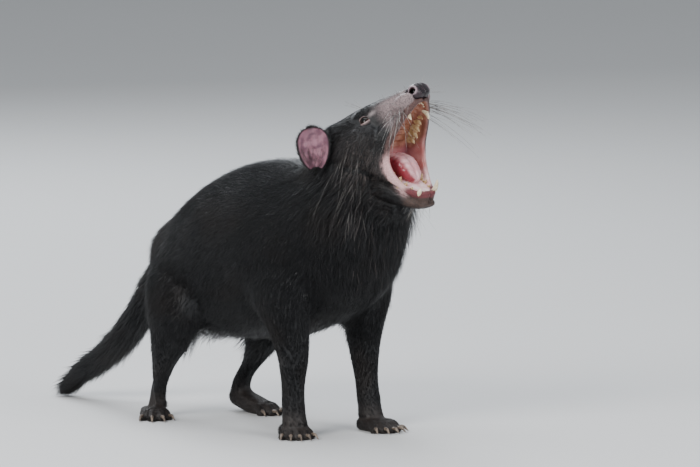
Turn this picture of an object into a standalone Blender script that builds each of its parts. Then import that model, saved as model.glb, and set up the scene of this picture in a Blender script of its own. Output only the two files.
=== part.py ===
"""Tasmanian devil, a life-size standing figure with its head raised and its mouth wide open.

Sizes are in millimetres and are turned into metres by MM where a mesh is made. The animal faces +X, its
left is +Y, and the soles of its feet are cut flat at one level. The flesh is lofted from a few named rings,
fused by a voxel remesh, thinned, and then parted with thin cuts, so that the parts meet face to face.
"""

import math
import random

import bmesh
import bpy
import numpy as np
from mathutils import Matrix, Vector

MM = 0.001
GAP = 0.3
SEED = 11

# The head turns about the jaw joint: pitch lifts the muzzle, yaw turns it to the animal's left.
JAW_JOINT = (150, 2, 320)
HEAD_PITCH = 40
HEAD_YAW = 5
JAW_PITCH = -26

# Rings along the trunk: x, top, bottom, half width.
TORSO = [
    (-166, 202, 168, 12),
    (-152, 213, 140, 34),
    (-125, 229, 113, 53),
    (-85, 260, 98, 69),
    (-38, 285, 94, 80),
    (15, 300, 98, 85),
    (62, 302, 110, 84),
    (105, 296, 123, 78),
    (142, 282, 140, 67),
    (168, 262, 165, 50),
    (182, 240, 190, 26),
]
# Rings along the neck: x, y, z, pitch of the axis, half depth, half width.
NECK = [
    (45, 0, 198, 8, 96, 80),
    (88, 0, 214, 22, 90, 78),
    (122, 0, 238, 42, 78, 72),
    (139, 1, 268, 60, 64, 64),
    (146, 2, 298, 74, 56, 52),
    (150, 2, 322, 84, 44, 42),
]
# Rings along the skull, in the head's frame: u along the palate, top, bottom, half width.
SKULL = [
    (-46, 27, -6, 19),
    (-36, 37, -22, 35),
    (-18, 41, -34, 42.5),
    (6, 39.5, -38, 45),
    (26, 36, -32, 40),
    (42, 32.5, -24, 32),
    (56, 28, -18, 26),
    (70, 23, -13, 22),
    (86, 17.5, -9, 17.5),
    (97, 12.2, -6, 13),
    (104, 8, -4, 9),
    (109, 5, -1, 5),
]
# Rings along the lower jaw, in the jaw's frame: p along the jaw, top, bottom, half width.
JAW = [
    (-8, 12, -22, 30),
    (12, 10, -36, 42),
    (34, 8, -38, 42),
    (56, 5, -33, 35),
    (76, 1, -27, 27),
    (94, -1, -21, 20),
    (105, -1, -15, 15),
    (110, -3, -9, 8),
]
# The throat closes the angle between the jaws: distance from the joint and half width. Walls of cheek run
# from it to the lips, over CHEEK_SHARE of the way, with these distances from the middle at their back.
THROAT = [(6, 48), (20, 50), (30, 47), (36, 42)]
THROAT_FROM, THROAT_TO, THROAT_STEPS = -8, -72, 9
CHEEK_SHARE, CHEEK_OUTER, CHEEK_INNER, CHEEK_SPREAD, LIP_WALL = 0.5, 44, 25, 16, 3
# The lip line of one side, in the head's frame: u, v, w, from under the nose round the corner to the chin.
LIP = [
    (104, -8, 1),
    (101, -8, 8),
    (91, -12.5, 16),
    (82, -16, 20.5),
    (72, -21, 25),
    (62, -26, 28),
    (52, -32, 30),
    (42, -43, 31),
    (37, -55, 29),
    (35, -68, 25),
    (36, -79, 20),
    (40, -88, 14),
    (44, -92, 7),
    (45, -93, 1),
]
LIP_RADIUS = 3.5

# Rings down each leg: z, x, y, half depth along x, half width along y.
LEGS = {
    "front_leg_right": [
        (226, 84, -40, 40, 26),
        (180, 82, -57, 44, 29),
        (145, 86, -60, 37, 27),
        (118, 93, -57, 26, 23),
        (88, 97, -54, 19, 18),
        (58, 96, -53, 14, 15),
        (38, 96, -53, 14, 15),
        (16, 99, -54, 15, 16),
    ],
    "front_leg_left": [
        (226, 90, 40, 40, 26),
        (180, 90, 57, 44, 29),
        (145, 93, 60, 37, 27),
        (118, 96, 57, 26, 23),
        (88, 100, 54, 19, 18),
        (58, 104, 53, 14, 15),
        (38, 107, 53, 14, 15),
        (16, 111, 53, 15, 16),
    ],
    "hind_leg_right": [
        (192, -92, -24, 34, 20),
        (164, -92, -46, 42, 26),
        (130, -88, -56, 39, 28),
        (100, -88, -58, 30, 25),
        (72, -101, -56, 19, 18),
        (46, -117, -51, 12, 12.5),
        (28, -125, -49, 12, 12.5),
        (12, -126, -48, 13, 13),
    ],
    "hind_leg_left": [
        (192, -84, 24, 34, 20),
        (164, -80, 48, 42, 26),
        (130, -68, 59, 38, 28),
        (100, -60, 61, 29, 24),
        (74, -68, 59, 20, 18),
        (50, -85, 57, 13, 13),
        (34, -97, 56, 12, 12.5),
        (16, -98, 56, 12, 12.5),
    ],
}
# Each foot: its leg, where its heel and the roots of its toes are, heel height, half width, number of toes.
FEET = {
    "front_paw_right": ("front_leg_right", (86, -46), (107, -59), 17, 17, 5),
    "front_paw_left": ("front_leg_left", (106, 53), (137, 49), 17, 17, 5),
    "hind_paw_right": ("hind_leg_right", (-142, -43), (-112, -64), 15, 15.5, 4),
    "hind_paw_left": ("hind_leg_left", (-101, 57), (-54, 56), 24, 14, 4),
}
ANKLE, SOLE_SINK = 30, 2.5
PALM_FRONT, PALM_BACK, PALM_RINGS, HEEL_WIDTH_SHARE = 15, 17, 7, 0.72
# Toes fan out from the front of the palm. The outer ones are set back and shorter.
TOE_LENGTH, TOE_RADIUS, TOE_SPREAD = 16, 6.2, 24
TOE_SET_BACK, OUTER_TOE_SET_BACK, OUTER_TOE_SHORTER, TOE_ROOT_BACK = 4, 5, 0.25, 8
KNUCKLE_SHARE, TOE_ROOT_LIFT, KNUCKLE_LIFT = 0.45, 3, 2
CLAW_LENGTH, CLAW_RADIUS, CLAW_TIP_HEIGHT, CLAW_BEND_SHARE = 12, 2.4, 1.2, 0.55

# The tail's line: x, z, half depth, half width of the flesh under its hair.
TAIL = [
    (-126, 182, 18, 20),
    (-148, 170, 20, 21),
    (-172, 146, 18, 18),
    (-198, 112, 15, 15),
    (-224, 84, 13, 13),
    (-252, 61, 11, 11),
    (-280, 43, 8, 8),
    (-303, 26, 4, 4),
]
TAIL_LOCK_ROWS, TAIL_LOCKS_ROUND, TAIL_LOCKS_FROM = 6, 6, 0.27
LOCK_LENGTH, LOCK_WIDTH, LOCK_THICK, LOCK_RISE, LOCK_ROOT_SINK, LOCK_LEAN = 54, 17, 3.6, 6, 5, 0.12
# Rings of a lock: share of its length, of its width and of its thickness.
LOCK_RINGS = [(0, 0.8, 1.3), (0.35, 1, 1), (0.7, 0.7, 0.8), (1, 0.16, 0.3)]

# Swellings on each side of the head: centre and half sizes, in the head's frame.
HEAD_SWELLINGS = {
    "cheekbone_form": ((14, -8, 32), (38, 22, 22)),
    "brow_form": ((38, 22, 20), (17, 9, 12)),
    "whisker_pad_form": ((86, -1, 13), (20, 10, 11)),
    "jaw_muscle_form": ((-8, -34, 34), (26, 26, 18)),
    "throat_form": ((-8, -62, 10), (17, 26, 22)),
}
EYE_CENTRE, EYE_RADIUS = (42.5, 9.5, 28), 6.6
EYE_FACING = (0.45, 0.35, 0.82)
LID, LID_LONG, LID_HIGH, LID_OUT = 1.5, 6.6, 5.2, 3.6
LID_STEPS = 16
NOSE_CENTRE, NOSE_RADII = (102, 2.2, 0), (11, 9, 12.8)
# Each nostril is a round hole from outside the pad to this depth, opening forward and to its own side.
NOSTRIL_MOUTH, NOSTRIL_END, NOSTRIL_RADIUS = (112, 2.6, 17), (102.5, 3.4, 7), 2.9
EAR_BASE = (-28.5, 0.5, 54)
EAR_LENGTH_AXIS, EAR_FACING = (0.6, 0.78, 0.12), (0.56, -0.32, 0.76)
EAR_LENGTH, EAR_WIDTH, EAR_DEPTH, EAR_THICK, EAR_WIDEST = 47, 37, 14, 2.6, 0.62
# An ear is an oval on this grid. It narrows to nothing a little beyond its base and its tip.
EAR_GRID, EAR_BEYOND_BASE, EAR_BEYOND_TIP, EAR_INNER_SHARE = 9, 1.08, 1.03, 0.96
# One side's teeth: place along the jaw, gum, tip, distance from the middle, radius.
UPPER_TEETH = [
    (98, -4, -11, 2.2, 1.6),
    (96.5, -4, -11, 6, 1.7),
    (94, -5, -12, 9.5, 1.9),
    (87, -8, -23, 15, 3.6),
    (77, -12, -18, 17.5, 2.3),
    (70, -14, -21, 19, 2.7),
    (62, -16, -24, 21, 3.2),
    (54, -18, -27, 23, 3.6),
    (46, -21, -29, 24.5, 3.6),
]
LOWER_TEETH = [
    (105, 0, 7, 2.4, 1.6),
    (103.5, 0, 8, 6.2, 1.8),
    (99, 1, 17, 12, 3.6),
    (90, 0, 7, 15, 2.3),
    (82, 0, 8, 17, 2.7),
    (73, 0, 9, 19, 3.2),
    (64, 0, 9, 21, 3.4),
]
TOOTH_LEAN, TOOTH_ROOT = 2, 5
# The tongue, in the jaw's frame: p, top, bottom, half width.
TONGUE = [(34, 24, 2, 14), (48, 26, 2, 16), (62, 23, 1, 16), (72, 20, 1, 14), (79, 16, 3, 10), (82, 12, 6, 5)]
BODY_VOXEL, BODY_SMOOTHING, BODY_TRIANGLES = 3, 5, 5500
PAW_VOXEL, PAW_SMOOTHING, PAW_TRIANGLES = 2, 3, 440
BOX_SIZE = 400
# Where the thin cuts fall: the centre and size of the box that picks each part.
LEG_BOXES = {
    "front_leg_right": ((88, -72, 60), (110, 100, 170)),
    "front_leg_left": ((92, 72, 60), (110, 100, 170)),
    "hind_leg_right": ((-100, -78, 60), (130, 110, 160)),
    "hind_leg_left": ((-92, 78, 60), (120, 110, 160)),
}
HEAD_CUT, HEAD_CUT_PITCH = (98, 0, 287), 17
NECK_CUT, NECK_CUT_PITCH = (62, 0, 300), 38
JAW_CUT, JAW_CUT_BACK = -34, 14
TAIL_BOX = ((-265, 0, 130), (220, 120, 300))
FINISHES = {
    "eye": ((0.012, 0.008, 0.006), 0.05),
    "nose": ((0.035, 0.025, 0.03), 0.35),
    "tongue": ((0.62, 0.27, 0.27), 0.35),
    "lower_jaw": ((0.12, 0.07, 0.06), 0.5),
    "ear": ((0.25, 0.13, 0.12), 0.6),
    "front_paw": ((0.09, 0.07, 0.06), 0.6),
    "hind_paw": ((0.09, 0.07, 0.06), 0.6),
    "": ((0.02, 0.018, 0.02), 0.45),
}


def head_point(u, v, w):
    """A point of the head's frame in the animal's frame: u forward, v up, w to the animal's right."""
    pitch, yaw = math.radians(HEAD_PITCH), math.radians(HEAD_YAW)
    ahead = u * math.cos(pitch) - v * math.sin(pitch)
    up = u * math.sin(pitch) + v * math.cos(pitch)
    x = JAW_JOINT[0] + ahead * math.cos(yaw) + w * math.sin(yaw)
    y = JAW_JOINT[1] + ahead * math.sin(yaw) - w * math.cos(yaw)
    return Vector((x, y, JAW_JOINT[2] + up))


def jaw_point(p, q, w):
    """A point of the lower jaw's frame, which hangs open from the same joint."""
    turn = math.radians(JAW_PITCH - HEAD_PITCH)
    return head_point(p * math.cos(turn) - q * math.sin(turn), p * math.sin(turn) + q * math.cos(turn), w)


def eased(rows, per_span):
    """Points of the smooth curve through the rows, per_span of them for each span, with both ends."""
    rows = np.array(rows, float)
    padded = np.vstack([2 * rows[0] - rows[1], rows, 2 * rows[-1] - rows[-2]])
    found = []
    for i in range(len(rows) - 1):
        a, b, c, d = padded[i : i + 4]
        for t in np.arange(per_span) / per_span:
            curve = 2 * b + (c - a) * t + (2 * a - 5 * b + 4 * c - d) * t**2 + (3 * b - a - 3 * c + d) * t**3
            found.append(curve / 2)
    return np.array(found + [rows[-1]])


def oval(half_width, half_height, sides, power=2.2):
    """(across, up) pairs round a slightly squared oval."""
    pairs = []
    for k in range(sides):
        angle = 2 * math.pi * k / sides
        c, s = math.cos(angle), math.sin(angle)
        across = half_width * math.copysign(abs(c) ** (2 / power), c)
        up = half_height * math.copysign(abs(s) ** (2 / power), s)
        pairs.append((across, up))
    return pairs


def new_object(name, mesh_maker):
    """An object whose mesh is filled in, in millimetres, by mesh_maker."""
    mesh = bpy.data.meshes.new(name)
    shape = bmesh.new()
    mesh_maker(shape)
    bmesh.ops.recalc_face_normals(shape, faces=shape.faces)
    shape.to_mesh(mesh)
    shape.free()
    mesh.transform(Matrix.Scale(MM, 4))
    found = bpy.data.objects.new(name, mesh)
    bpy.context.scene.collection.objects.link(found)
    return found


def loft(name, rings):
    """A closed tube through the rings, each a list of the same number of points."""

    def fill(shape):
        rows = [[shape.verts.new(point) for point in ring] for ring in rings]
        sides = len(rows[0])
        for low, high in zip(rows, rows[1:]):
            for k in range(sides):
                shape.faces.new((low[k], low[(k + 1) % sides], high[(k + 1) % sides], high[k]))
        shape.faces.new(rows[0])
        shape.faces.new(rows[-1])

    return new_object(name, fill)


def tube(name, points, radii, sides=10):
    """A round tube along the points, with its rings square to its path."""
    points = [Vector(point) for point in points]
    rings = []
    for i, point in enumerate(points):
        along = (points[min(i + 1, len(points) - 1)] - points[max(i - 1, 0)]).normalized()
        side = along.orthogonal() if i == 0 else (side - along * side.dot(along))
        side.normalize()
        up = along.cross(side)
        turns = [2 * math.pi * k / sides for k in range(sides)]
        rings.append([point + (side * math.cos(t) + up * math.sin(t)) * radii[i] for t in turns])
    return loft(name, rings)


def ball(name, centre, radii, rotation=None, segments=20):
    """An ellipsoid with the given half sizes."""

    def fill(shape):
        bmesh.ops.create_uvsphere(shape, u_segments=segments, v_segments=segments // 2 + 1, radius=1)
        turn = rotation.to_4x4() if rotation else Matrix.Identity(4)
        place = Matrix.Translation(Vector(centre)) @ turn @ Matrix.Diagonal((*radii, 1))
        bmesh.ops.transform(shape, matrix=place, verts=shape.verts)

    return new_object(name, fill)


def applied(obj):
    """Bakes an object's modifiers into its mesh."""
    graph = bpy.context.evaluated_depsgraph_get()
    mesh = bpy.data.meshes.new_from_object(obj.evaluated_get(graph))
    obj.modifiers.clear()
    old, obj.data = obj.data, mesh
    bpy.data.meshes.remove(old)
    return obj


def remove(*objects):
    """Deletes objects that have served as tools."""
    for obj in objects:
        bpy.data.objects.remove(obj)


def copy_of(obj):
    """A second object with a mesh of its own."""
    twin = obj.copy()
    twin.data = obj.data.copy()
    bpy.context.scene.collection.objects.link(twin)
    return twin


def fused(name, objects, voxel, smoothing, triangles):
    """One skin round the objects: a voxel remesh, smoothed, then thinned to about so many triangles."""

    def fill(shape):
        for obj in objects:
            shape.from_mesh(obj.data)

    whole = new_object(name, fill)
    whole.data.transform(Matrix.Scale(1 / MM, 4))
    remove(*objects)
    remesh = whole.modifiers.new("skin", "REMESH")
    remesh.mode, remesh.voxel_size = "VOXEL", voxel * MM
    relax = whole.modifiers.new("relax", "SMOOTH")
    relax.factor, relax.iterations = 0.5, smoothing
    applied(whole)
    thin = whole.modifiers.new("thin", "DECIMATE")
    count = sum(len(face.vertices) - 2 for face in whole.data.polygons)
    thin.ratio = min(1, triangles / count)
    return applied(whole)


def cut(obj, others, operation="DIFFERENCE"):
    """Cuts or joins the others with one Boolean on their collection, and removes them."""
    group = bpy.data.collections.new("cutters")
    for other in others:
        group.objects.link(other)
    change = obj.modifiers.new("cut", "BOOLEAN")
    change.operation, change.operand_type, change.collection = operation, "COLLECTION", group
    applied(obj)
    bpy.data.collections.remove(group)
    remove(*others)
    return largest(obj)


def kept_inside(obj, region):
    """What of obj lies inside a region box, which is left in place."""
    change = obj.modifiers.new("inside", "BOOLEAN")
    change.operation, change.object = "INTERSECT", region
    return largest(applied(obj))


def largest(obj):
    """Drops all but the largest closed surface."""
    shape = bmesh.new()
    shape.from_mesh(obj.data)
    bmesh.ops.triangulate(shape, faces=shape.faces)
    left, islands = set(shape.verts), []
    while left:
        island, edge = set(), [left.pop()]
        while edge:
            vert = edge.pop()
            island.add(vert)
            for link in vert.link_edges:
                other = link.other_vert(vert)
                if other in left:
                    left.remove(other)
                    edge.append(other)
        islands.append(island)
    islands.sort(key=len)
    bmesh.ops.delete(shape, geom=[vert for island in islands[:-1] for vert in island], context="VERTS")
    shape.to_mesh(obj.data)
    shape.free()
    return obj


def grown(obj, by):
    """A copy of obj whose surface stands out by this much."""
    twin = copy_of(obj)
    swell = twin.modifiers.new("swell", "DISPLACE")
    swell.strength, swell.mid_level = by * MM, 0
    return applied(twin)


def clear_of(obj, neighbours):
    """Takes the neighbours, grown by the gap, out of obj."""
    return cut(obj, [grown(other, GAP) for other in neighbours])


def region(name, centre, size, rotation=None):
    """A box that picks one part of the body. The same box, grown by the gap, is cut from the rest."""

    def fill(shape):
        turn = rotation.to_4x4() if rotation else Matrix.Identity(4)
        place = Matrix.Translation(Vector(centre)) @ turn @ Matrix.Diagonal((*size, 1))
        bmesh.ops.create_cube(shape, size=1, matrix=place)

    return new_object(name, fill)


def parted(body, name, centre, size, rotation=None):
    """Takes one part out of the body with a thin cut all round a box."""
    box = region("part_box", centre, size, rotation)
    part = kept_inside(copy_of(body), box)
    remove(box)
    part.name = part.data.name = name
    wider = [side + 2 * GAP for side in size]
    cut(body, [region("gap_box", centre, wider, rotation)])
    return part


def box_above(point, pitch, ahead):
    """A large box whose lower face passes the point and leans forward by the pitch, moved ahead along it."""
    turn = Matrix.Rotation(math.radians(pitch), 3, "Y")
    return Vector(point) + turn @ Vector((ahead, 0, 150)), (400, 300, 300), turn


def jaw_box():
    """A box whose upper face halves the angle between the jaws."""
    turn = Matrix.Rotation(math.radians(-(HEAD_PITCH + JAW_CUT)), 3, "Y")
    corner = Vector(JAW_JOINT)
    return corner + turn @ Vector((150 - JAW_CUT_BACK, 0, -150)), (300, 300, 300), turn


def torso_loft():
    """The trunk, deepest at the ribs and full at the rump."""
    rings = []
    for x, top, bottom, half_width in eased(TORSO, 3):
        middle = (top + bottom) / 2
        rings.append([(x, y, middle + z) for y, z in oval(half_width, (top - bottom) / 2, 32, 2.05)])
    return loft("torso_form", rings)


def neck_loft():
    """The short thick neck, which bends up to the raised head."""
    rings = []
    for x, y, z, pitch, half_depth, half_width in eased(NECK, 3):
        angle = math.radians(pitch)
        back = Vector((-math.sin(angle), 0, math.cos(angle)))
        pairs = oval(half_width, half_depth, 28)
        rings.append([Vector((x, y + across, z)) + back * up for across, up in pairs])
    return loft("neck_form", rings)


def head_loft(name, rows, place):
    """The skull or the jaw, with its rings placed by the function of its own frame."""
    rings = []
    for along, top, bottom, half_width in eased(rows, 3):
        pairs = oval(half_width, (top - bottom) / 2, 28, 2.3)
        rings.append([place(along, (top + bottom) / 2 + up, across) for across, up in pairs])
    return loft(name, rings)


def leg_loft(name):
    """One leg, from inside the trunk down into its foot."""
    rings = []
    for z, x, y, half_depth, half_width in eased(LEGS[name], 3):
        rings.append([(x + along, y + across, z) for across, along in oval(half_width, half_depth, 20, 2)])
    return loft(name + "_form", rings)


def tail_loft():
    """The tapering flesh of the tail, with rings square to its line."""
    rings = []
    rows = eased(TAIL, 3)
    for i, (x, z, half_depth, half_width) in enumerate(rows):
        ahead = Vector(rows[min(i + 1, len(rows) - 1)][:2]) - Vector(rows[max(i - 1, 0)][:2])
        ahead.normalize()
        pairs = oval(half_width, half_depth, 16, 2)
        rings.append([(x - ahead.y * up, across, z + ahead.x * up) for across, up in pairs])
    return loft("tail_form", rings)


def throat_loft():
    """The wedge of flesh behind the mouth."""
    steps = list(np.linspace(THROAT_FROM, THROAT_TO, THROAT_STEPS))
    rings = []
    for distance, half_width in eased(THROAT, 2):
        ring = []
        for width, angles in ((half_width, steps), (-half_width, steps[::-1])):
            for angle in angles:
                turn = math.radians(angle)
                ring.append(head_point(distance * math.cos(turn), distance * math.sin(turn), width))
        rings.append(ring)
    return loft("throat_form", rings)


def cheek_lofts():
    """A wall on each side that fans out from the throat to the line of the lips."""
    found = []
    for side in (-1, 1):
        rings = []
        for u, v, w in eased(LIP, 2):
            back_u, back_v = u * CHEEK_SHARE, v * CHEEK_SHARE
            mid_u, mid_v = u * (1 + CHEEK_SHARE) / 2, v * (1 + CHEEK_SHARE) / 2
            outer, inner = min(CHEEK_OUTER, w + CHEEK_SPREAD), min(CHEEK_INNER, w)
            ring = [(back_u, back_v, inner), (back_u, back_v, outer)]
            ring += [(mid_u, mid_v, (outer + w) / 2 + LIP_WALL), (u, v, w + LIP_WALL)]
            ring += [(u, v, w - LIP_WALL), (mid_u, mid_v, (inner + w) / 2 - LIP_WALL)]
            rings.append([head_point(a, b, side * c) for a, b, c in ring])
        found.append(loft("cheek_form", rings))
    return found


def lip_tubes():
    """The rounded edge of the lips, one tube on each side."""
    found = []
    for side in (-1, 1):
        line = [head_point(u, v, side * w) for u, v, w in eased(LIP, 4)]
        found.append(tube("lip_form", line, [LIP_RADIUS] * len(line), 10))
    return found


def head_forms():
    """The skull and jaw with cheekbones, whisker pads, brows and lips, all to be fused into one skin."""
    found = [head_loft("skull_form", SKULL, head_point), head_loft("jaw_form", JAW, jaw_point)]
    for name, (centre, radii) in HEAD_SWELLINGS.items():
        for side in (-1, 1):
            u, v, w = centre
            found.append(ball(name, head_point(u, v, side * w), radii, head_turn()))
    return [*found, throat_loft(), *cheek_lofts(), *lip_tubes()]


def head_turn():
    """The rotation that takes u, v, w to the animal's frame, as a matrix of columns."""
    origin = head_point(0, 0, 0)
    columns = [head_point(*axis) - origin for axis in ((1, 0, 0), (0, 1, 0), (0, 0, 1))]
    return Matrix(columns).transposed()


def ear(side):
    """A thin cup: both faces of one curved grid, closed round the rim."""
    mirror = Matrix.Diagonal((1, 1, side))
    length_axis = (mirror @ Vector(EAR_LENGTH_AXIS)).normalized()
    facing = mirror @ Vector(EAR_FACING)
    facing = (facing - length_axis * facing.dot(length_axis)).normalized()
    across_axis = length_axis.cross(facing)
    base = mirror @ Vector(EAR_BASE)

    def sheet(depth_offset, shrink):
        grid = []
        for a in np.linspace(0, 1, EAR_GRID):
            reach = EAR_WIDEST * EAR_BEYOND_BASE if a < EAR_WIDEST else (1 - EAR_WIDEST) * EAR_BEYOND_TIP
            half = EAR_WIDTH / 2 * math.sqrt(1 - ((a - EAR_WIDEST) / reach) ** 2) * shrink
            line = []
            for b in np.linspace(-1, 1, EAR_GRID):
                depth = EAR_DEPTH * (b * b * (1 - 0.5 * a) + 0.5 * a * a - 0.5) + depth_offset
                place = base + length_axis * a * EAR_LENGTH + across_axis * half * b + facing * depth
                line.append(head_point(*place))
            grid.append(line)
        return grid

    def rim_of(grid):
        right, left = [line[-1] for line in grid[1:]], [line[0] for line in grid[-2:0:-1]]
        return grid[0] + right + grid[-1][-2::-1] + left

    def fill(shape):
        front = [[shape.verts.new(point) for point in line] for line in sheet(EAR_THICK / 2, EAR_INNER_SHARE)]
        back = [[shape.verts.new(point) for point in line] for line in sheet(-EAR_THICK / 2, 1)]
        for grid in (front, back):
            for low, high in zip(grid, grid[1:]):
                for j in range(EAR_GRID - 1):
                    shape.faces.new((low[j], low[j + 1], high[j + 1], high[j]))
        rim_front, rim_back = rim_of(front), rim_of(back)
        count = len(rim_front)
        for k in range(count):
            m = (k + 1) % count
            shape.faces.new((rim_front[k], rim_front[m], rim_back[m], rim_back[k]))
        bmesh.ops.triangulate(shape, faces=shape.faces)

    return new_object("ear_right" if side > 0 else "ear_left", fill)


def tooth(root, tip, radius):
    """One tooth: a cone from well inside the gum to its tip, a little swollen on the way."""
    middle = root.lerp(tip, 0.55)
    return tube("tooth", [root, middle, tip], [radius, radius * 0.8, radius * 0.2], 6)


def teeth(rows, place, up):
    """Both sides' teeth of one jaw, which point down (up is -1) or up (up is 1)."""
    found = []
    for side in (-1, 1):
        for along, gum, tip, w, radius in rows:
            root = place(along - TOOTH_LEAN, gum - up * TOOTH_ROOT, side * w)
            found.append(tooth(root, place(along, tip, side * w), radius))
    return found


def lids():
    """A ring of lid round each eye, to be fused into the head."""
    found = []
    for side in (-1, 1):
        u, v, w = EYE_CENTRE
        facing = Vector((EYE_FACING[0], EYE_FACING[1], side * EYE_FACING[2])).normalized()
        along = Vector((1, 0.12, 0))
        along = (along - facing * along.dot(facing)).normalized()
        up = facing.cross(along)
        line = []
        for k in range(LID_STEPS + 1):
            angle = 2 * math.pi * k / LID_STEPS
            place = Vector((u, v, side * w)) + facing * LID_OUT
            place += along * math.cos(angle) * LID_LONG + up * math.sin(angle) * LID_HIGH
            line.append(head_point(*place))
        found.append(tube("lid", line, [LID] * len(line), 6))
    return found


def eye(side):
    """One eyeball. Side is 1 on the animal's right and -1 on its left."""
    u, v, w = EYE_CENTRE
    name = "eye_right" if side > 0 else "eye_left"
    return ball(name, head_point(u, v, side * w), (EYE_RADIUS,) * 3, segments=12)


def nose():
    """The bare pad at the tip of the muzzle with its two nostrils."""
    pad = ball("nose", head_point(*NOSE_CENTRE), NOSE_RADII, head_turn(), 16)
    holes = []
    for side in (-1, 1):
        line = [head_point(u, v, side * w) for u, v, w in (NOSTRIL_MOUTH, NOSTRIL_END)]
        holes.append(tube("nostril_cutter", line, [NOSTRIL_RADIUS] * 2, 10))
    return cut(pad, holes)


def tongue():
    """The tongue, before its underside is cleared of the jaw."""
    rings = []
    for p, top, bottom, half_width in eased(TONGUE, 2):
        pairs = oval(half_width, (top - bottom) / 2, 14, 2)
        rings.append([jaw_point(p, (top + bottom) / 2 + up, across) for across, up in pairs])
    return loft("tongue", rings)


def palm_loft(heel, front, aside, heel_height, half_width):
    """The palm, from a narrow heel to the roots of the toes. A raised heel leaves the floor."""
    rings = []
    for t in np.linspace(0, 1, PALM_RINGS):
        height = heel_height * (1 - t) + PALM_FRONT * t
        swell = math.sin(math.pi * min(1, 0.25 + 0.6 * t))
        width = half_width * (HEEL_WIDTH_SHARE + (1 - HEEL_WIDTH_SHARE) * swell)
        lift = max(0, heel_height - PALM_BACK) * (1 - t) ** 2
        middle = heel.lerp(front, t) + Vector((0, 0, lift + (height - SOLE_SINK) / 2))
        pairs = oval(width, (height + SOLE_SINK) / 2, 16, 2.3)
        rings.append([middle + aside * across + Vector((0, 0, up)) for across, up in pairs])
    return loft("palm_form", rings)


def toe_line(front, ahead, aside, half_width, share):
    """A toe's heading and three points from root to pad. Share goes from -1 to 1 across the foot."""
    angle = math.radians(TOE_SPREAD) * share
    way = ahead * math.cos(angle) + aside * math.sin(angle)
    back = TOE_SET_BACK + OUTER_TOE_SET_BACK * share * share
    root = front + aside * share * (half_width - TOE_RADIUS) - ahead * back
    reach = TOE_LENGTH * (1 - OUTER_TOE_SHORTER * share * share)
    steps = (-TOE_ROOT_BACK, reach * KNUCKLE_SHARE, reach)
    lifts = (TOE_ROOT_LIFT, KNUCKLE_LIFT, -SOLE_SINK)
    return way, [root + way * step + Vector((0, 0, TOE_RADIUS + lift)) for step, lift in zip(steps, lifts)]


def paw(name):
    """One foot: a palm, its toes, and a claw on each, cut flat under the sole."""
    leg_name, heel, toes, heel_height, half_width, toe_count = FEET[name]
    heel, front = Vector((*heel, 0)), Vector((*toes, 0))
    ahead = (front - heel).normalized()
    aside = Vector((-ahead.y, ahead.x, 0))
    forms = [palm_loft(heel, front, aside, heel_height, half_width), leg_loft(leg_name)]
    claws = []
    for share in np.linspace(-1, 1, toe_count):
        way, line = toe_line(front, ahead, aside, half_width, float(share))
        forms.append(tube("toe_form", line, [TOE_RADIUS, TOE_RADIUS * 1.05, TOE_RADIUS * 0.9], 10))
        forms.append(ball("pad_form", line[-1], (TOE_RADIUS * 0.95,) * 3, segments=12))
        start = line[-1] + way * (TOE_RADIUS * 0.3)
        bend = start + way * CLAW_LENGTH * CLAW_BEND_SHARE + Vector((0, 0, 1.5))
        tip = start + way * CLAW_LENGTH + Vector((0, 0, CLAW_TIP_HEIGHT - start.z))
        path = [start + Vector((0, 0, 1)), bend, tip]
        claws.append(tube("claw", path, [CLAW_RADIUS, CLAW_RADIUS * 0.8, CLAW_RADIUS * 0.25], 6))
    foot = fused(name, forms, PAW_VOXEL, PAW_SMOOTHING, PAW_TRIANGLES)
    cut(foot, claws, "UNION")
    half = BOX_SIZE / 2
    above = region("above", (heel.x, heel.y, ANKLE - GAP + half), (BOX_SIZE,) * 3)
    below = region("below", (heel.x, heel.y, -half), (BOX_SIZE,) * 3)
    return cut(foot, [above, below])


def tail_locks():
    """Flat tapered locks that bend and lie back along the tail, longest under it."""
    draw = random.Random(SEED)
    rows = eased(TAIL, 6)
    found = []
    for i in range(TAIL_LOCK_ROWS):
        at = int((TAIL_LOCKS_FROM + (1 - TAIL_LOCKS_FROM) * i / (TAIL_LOCK_ROWS - 1)) * (len(rows) - 2))
        x, z, half_depth, half_width = rows[at]
        ahead = (Vector((rows[at + 1][0], 0, rows[at + 1][1])) - Vector((x, 0, z))).normalized()
        up = Vector((ahead.z, 0, -ahead.x))
        for k in range(TAIL_LOCKS_ROUND):
            angle = 2 * math.pi * (k + 0.5 * (i % 2)) / TAIL_LOCKS_ROUND
            out = Vector((0, math.cos(angle), 0)) + up * math.sin(angle)
            under = 0.5 - 0.5 * math.sin(angle)
            length = LOCK_LENGTH * (0.62 + 0.5 * under) * draw.uniform(0.85, 1.15)
            size = math.hypot(half_width * math.cos(angle), half_depth * math.sin(angle))
            root = Vector((x, 0, z)) + out * (size - LOCK_ROOT_SINK)
            rise = LOCK_RISE * (0.2 + 0.8 * under)
            found.append(lock(root, ahead, out, length, rise, draw.uniform(-LOCK_LEAN, LOCK_LEAN)))
    return found


def lock(root, ahead, out, length, rise, lean):
    """A flat blade with four rings that leaves the surface and bends back along it."""
    aside = ahead.cross(out)
    rings = []
    for t, width, thick in LOCK_RINGS:
        lift = (LOCK_ROOT_SINK + rise) * math.sin(math.pi / 2 * t)
        middle = root + ahead * length * t + out * lift + aside * lean * length * t * t
        half, deep = LOCK_WIDTH / 2 * width, LOCK_THICK / 2 * thick
        corners = ((-1, 0), (0, -1), (1, 0), (0, 1))
        rings.append([middle + aside * half * a + out * deep * b for a, b in corners])
    return loft("lock", rings)


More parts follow.
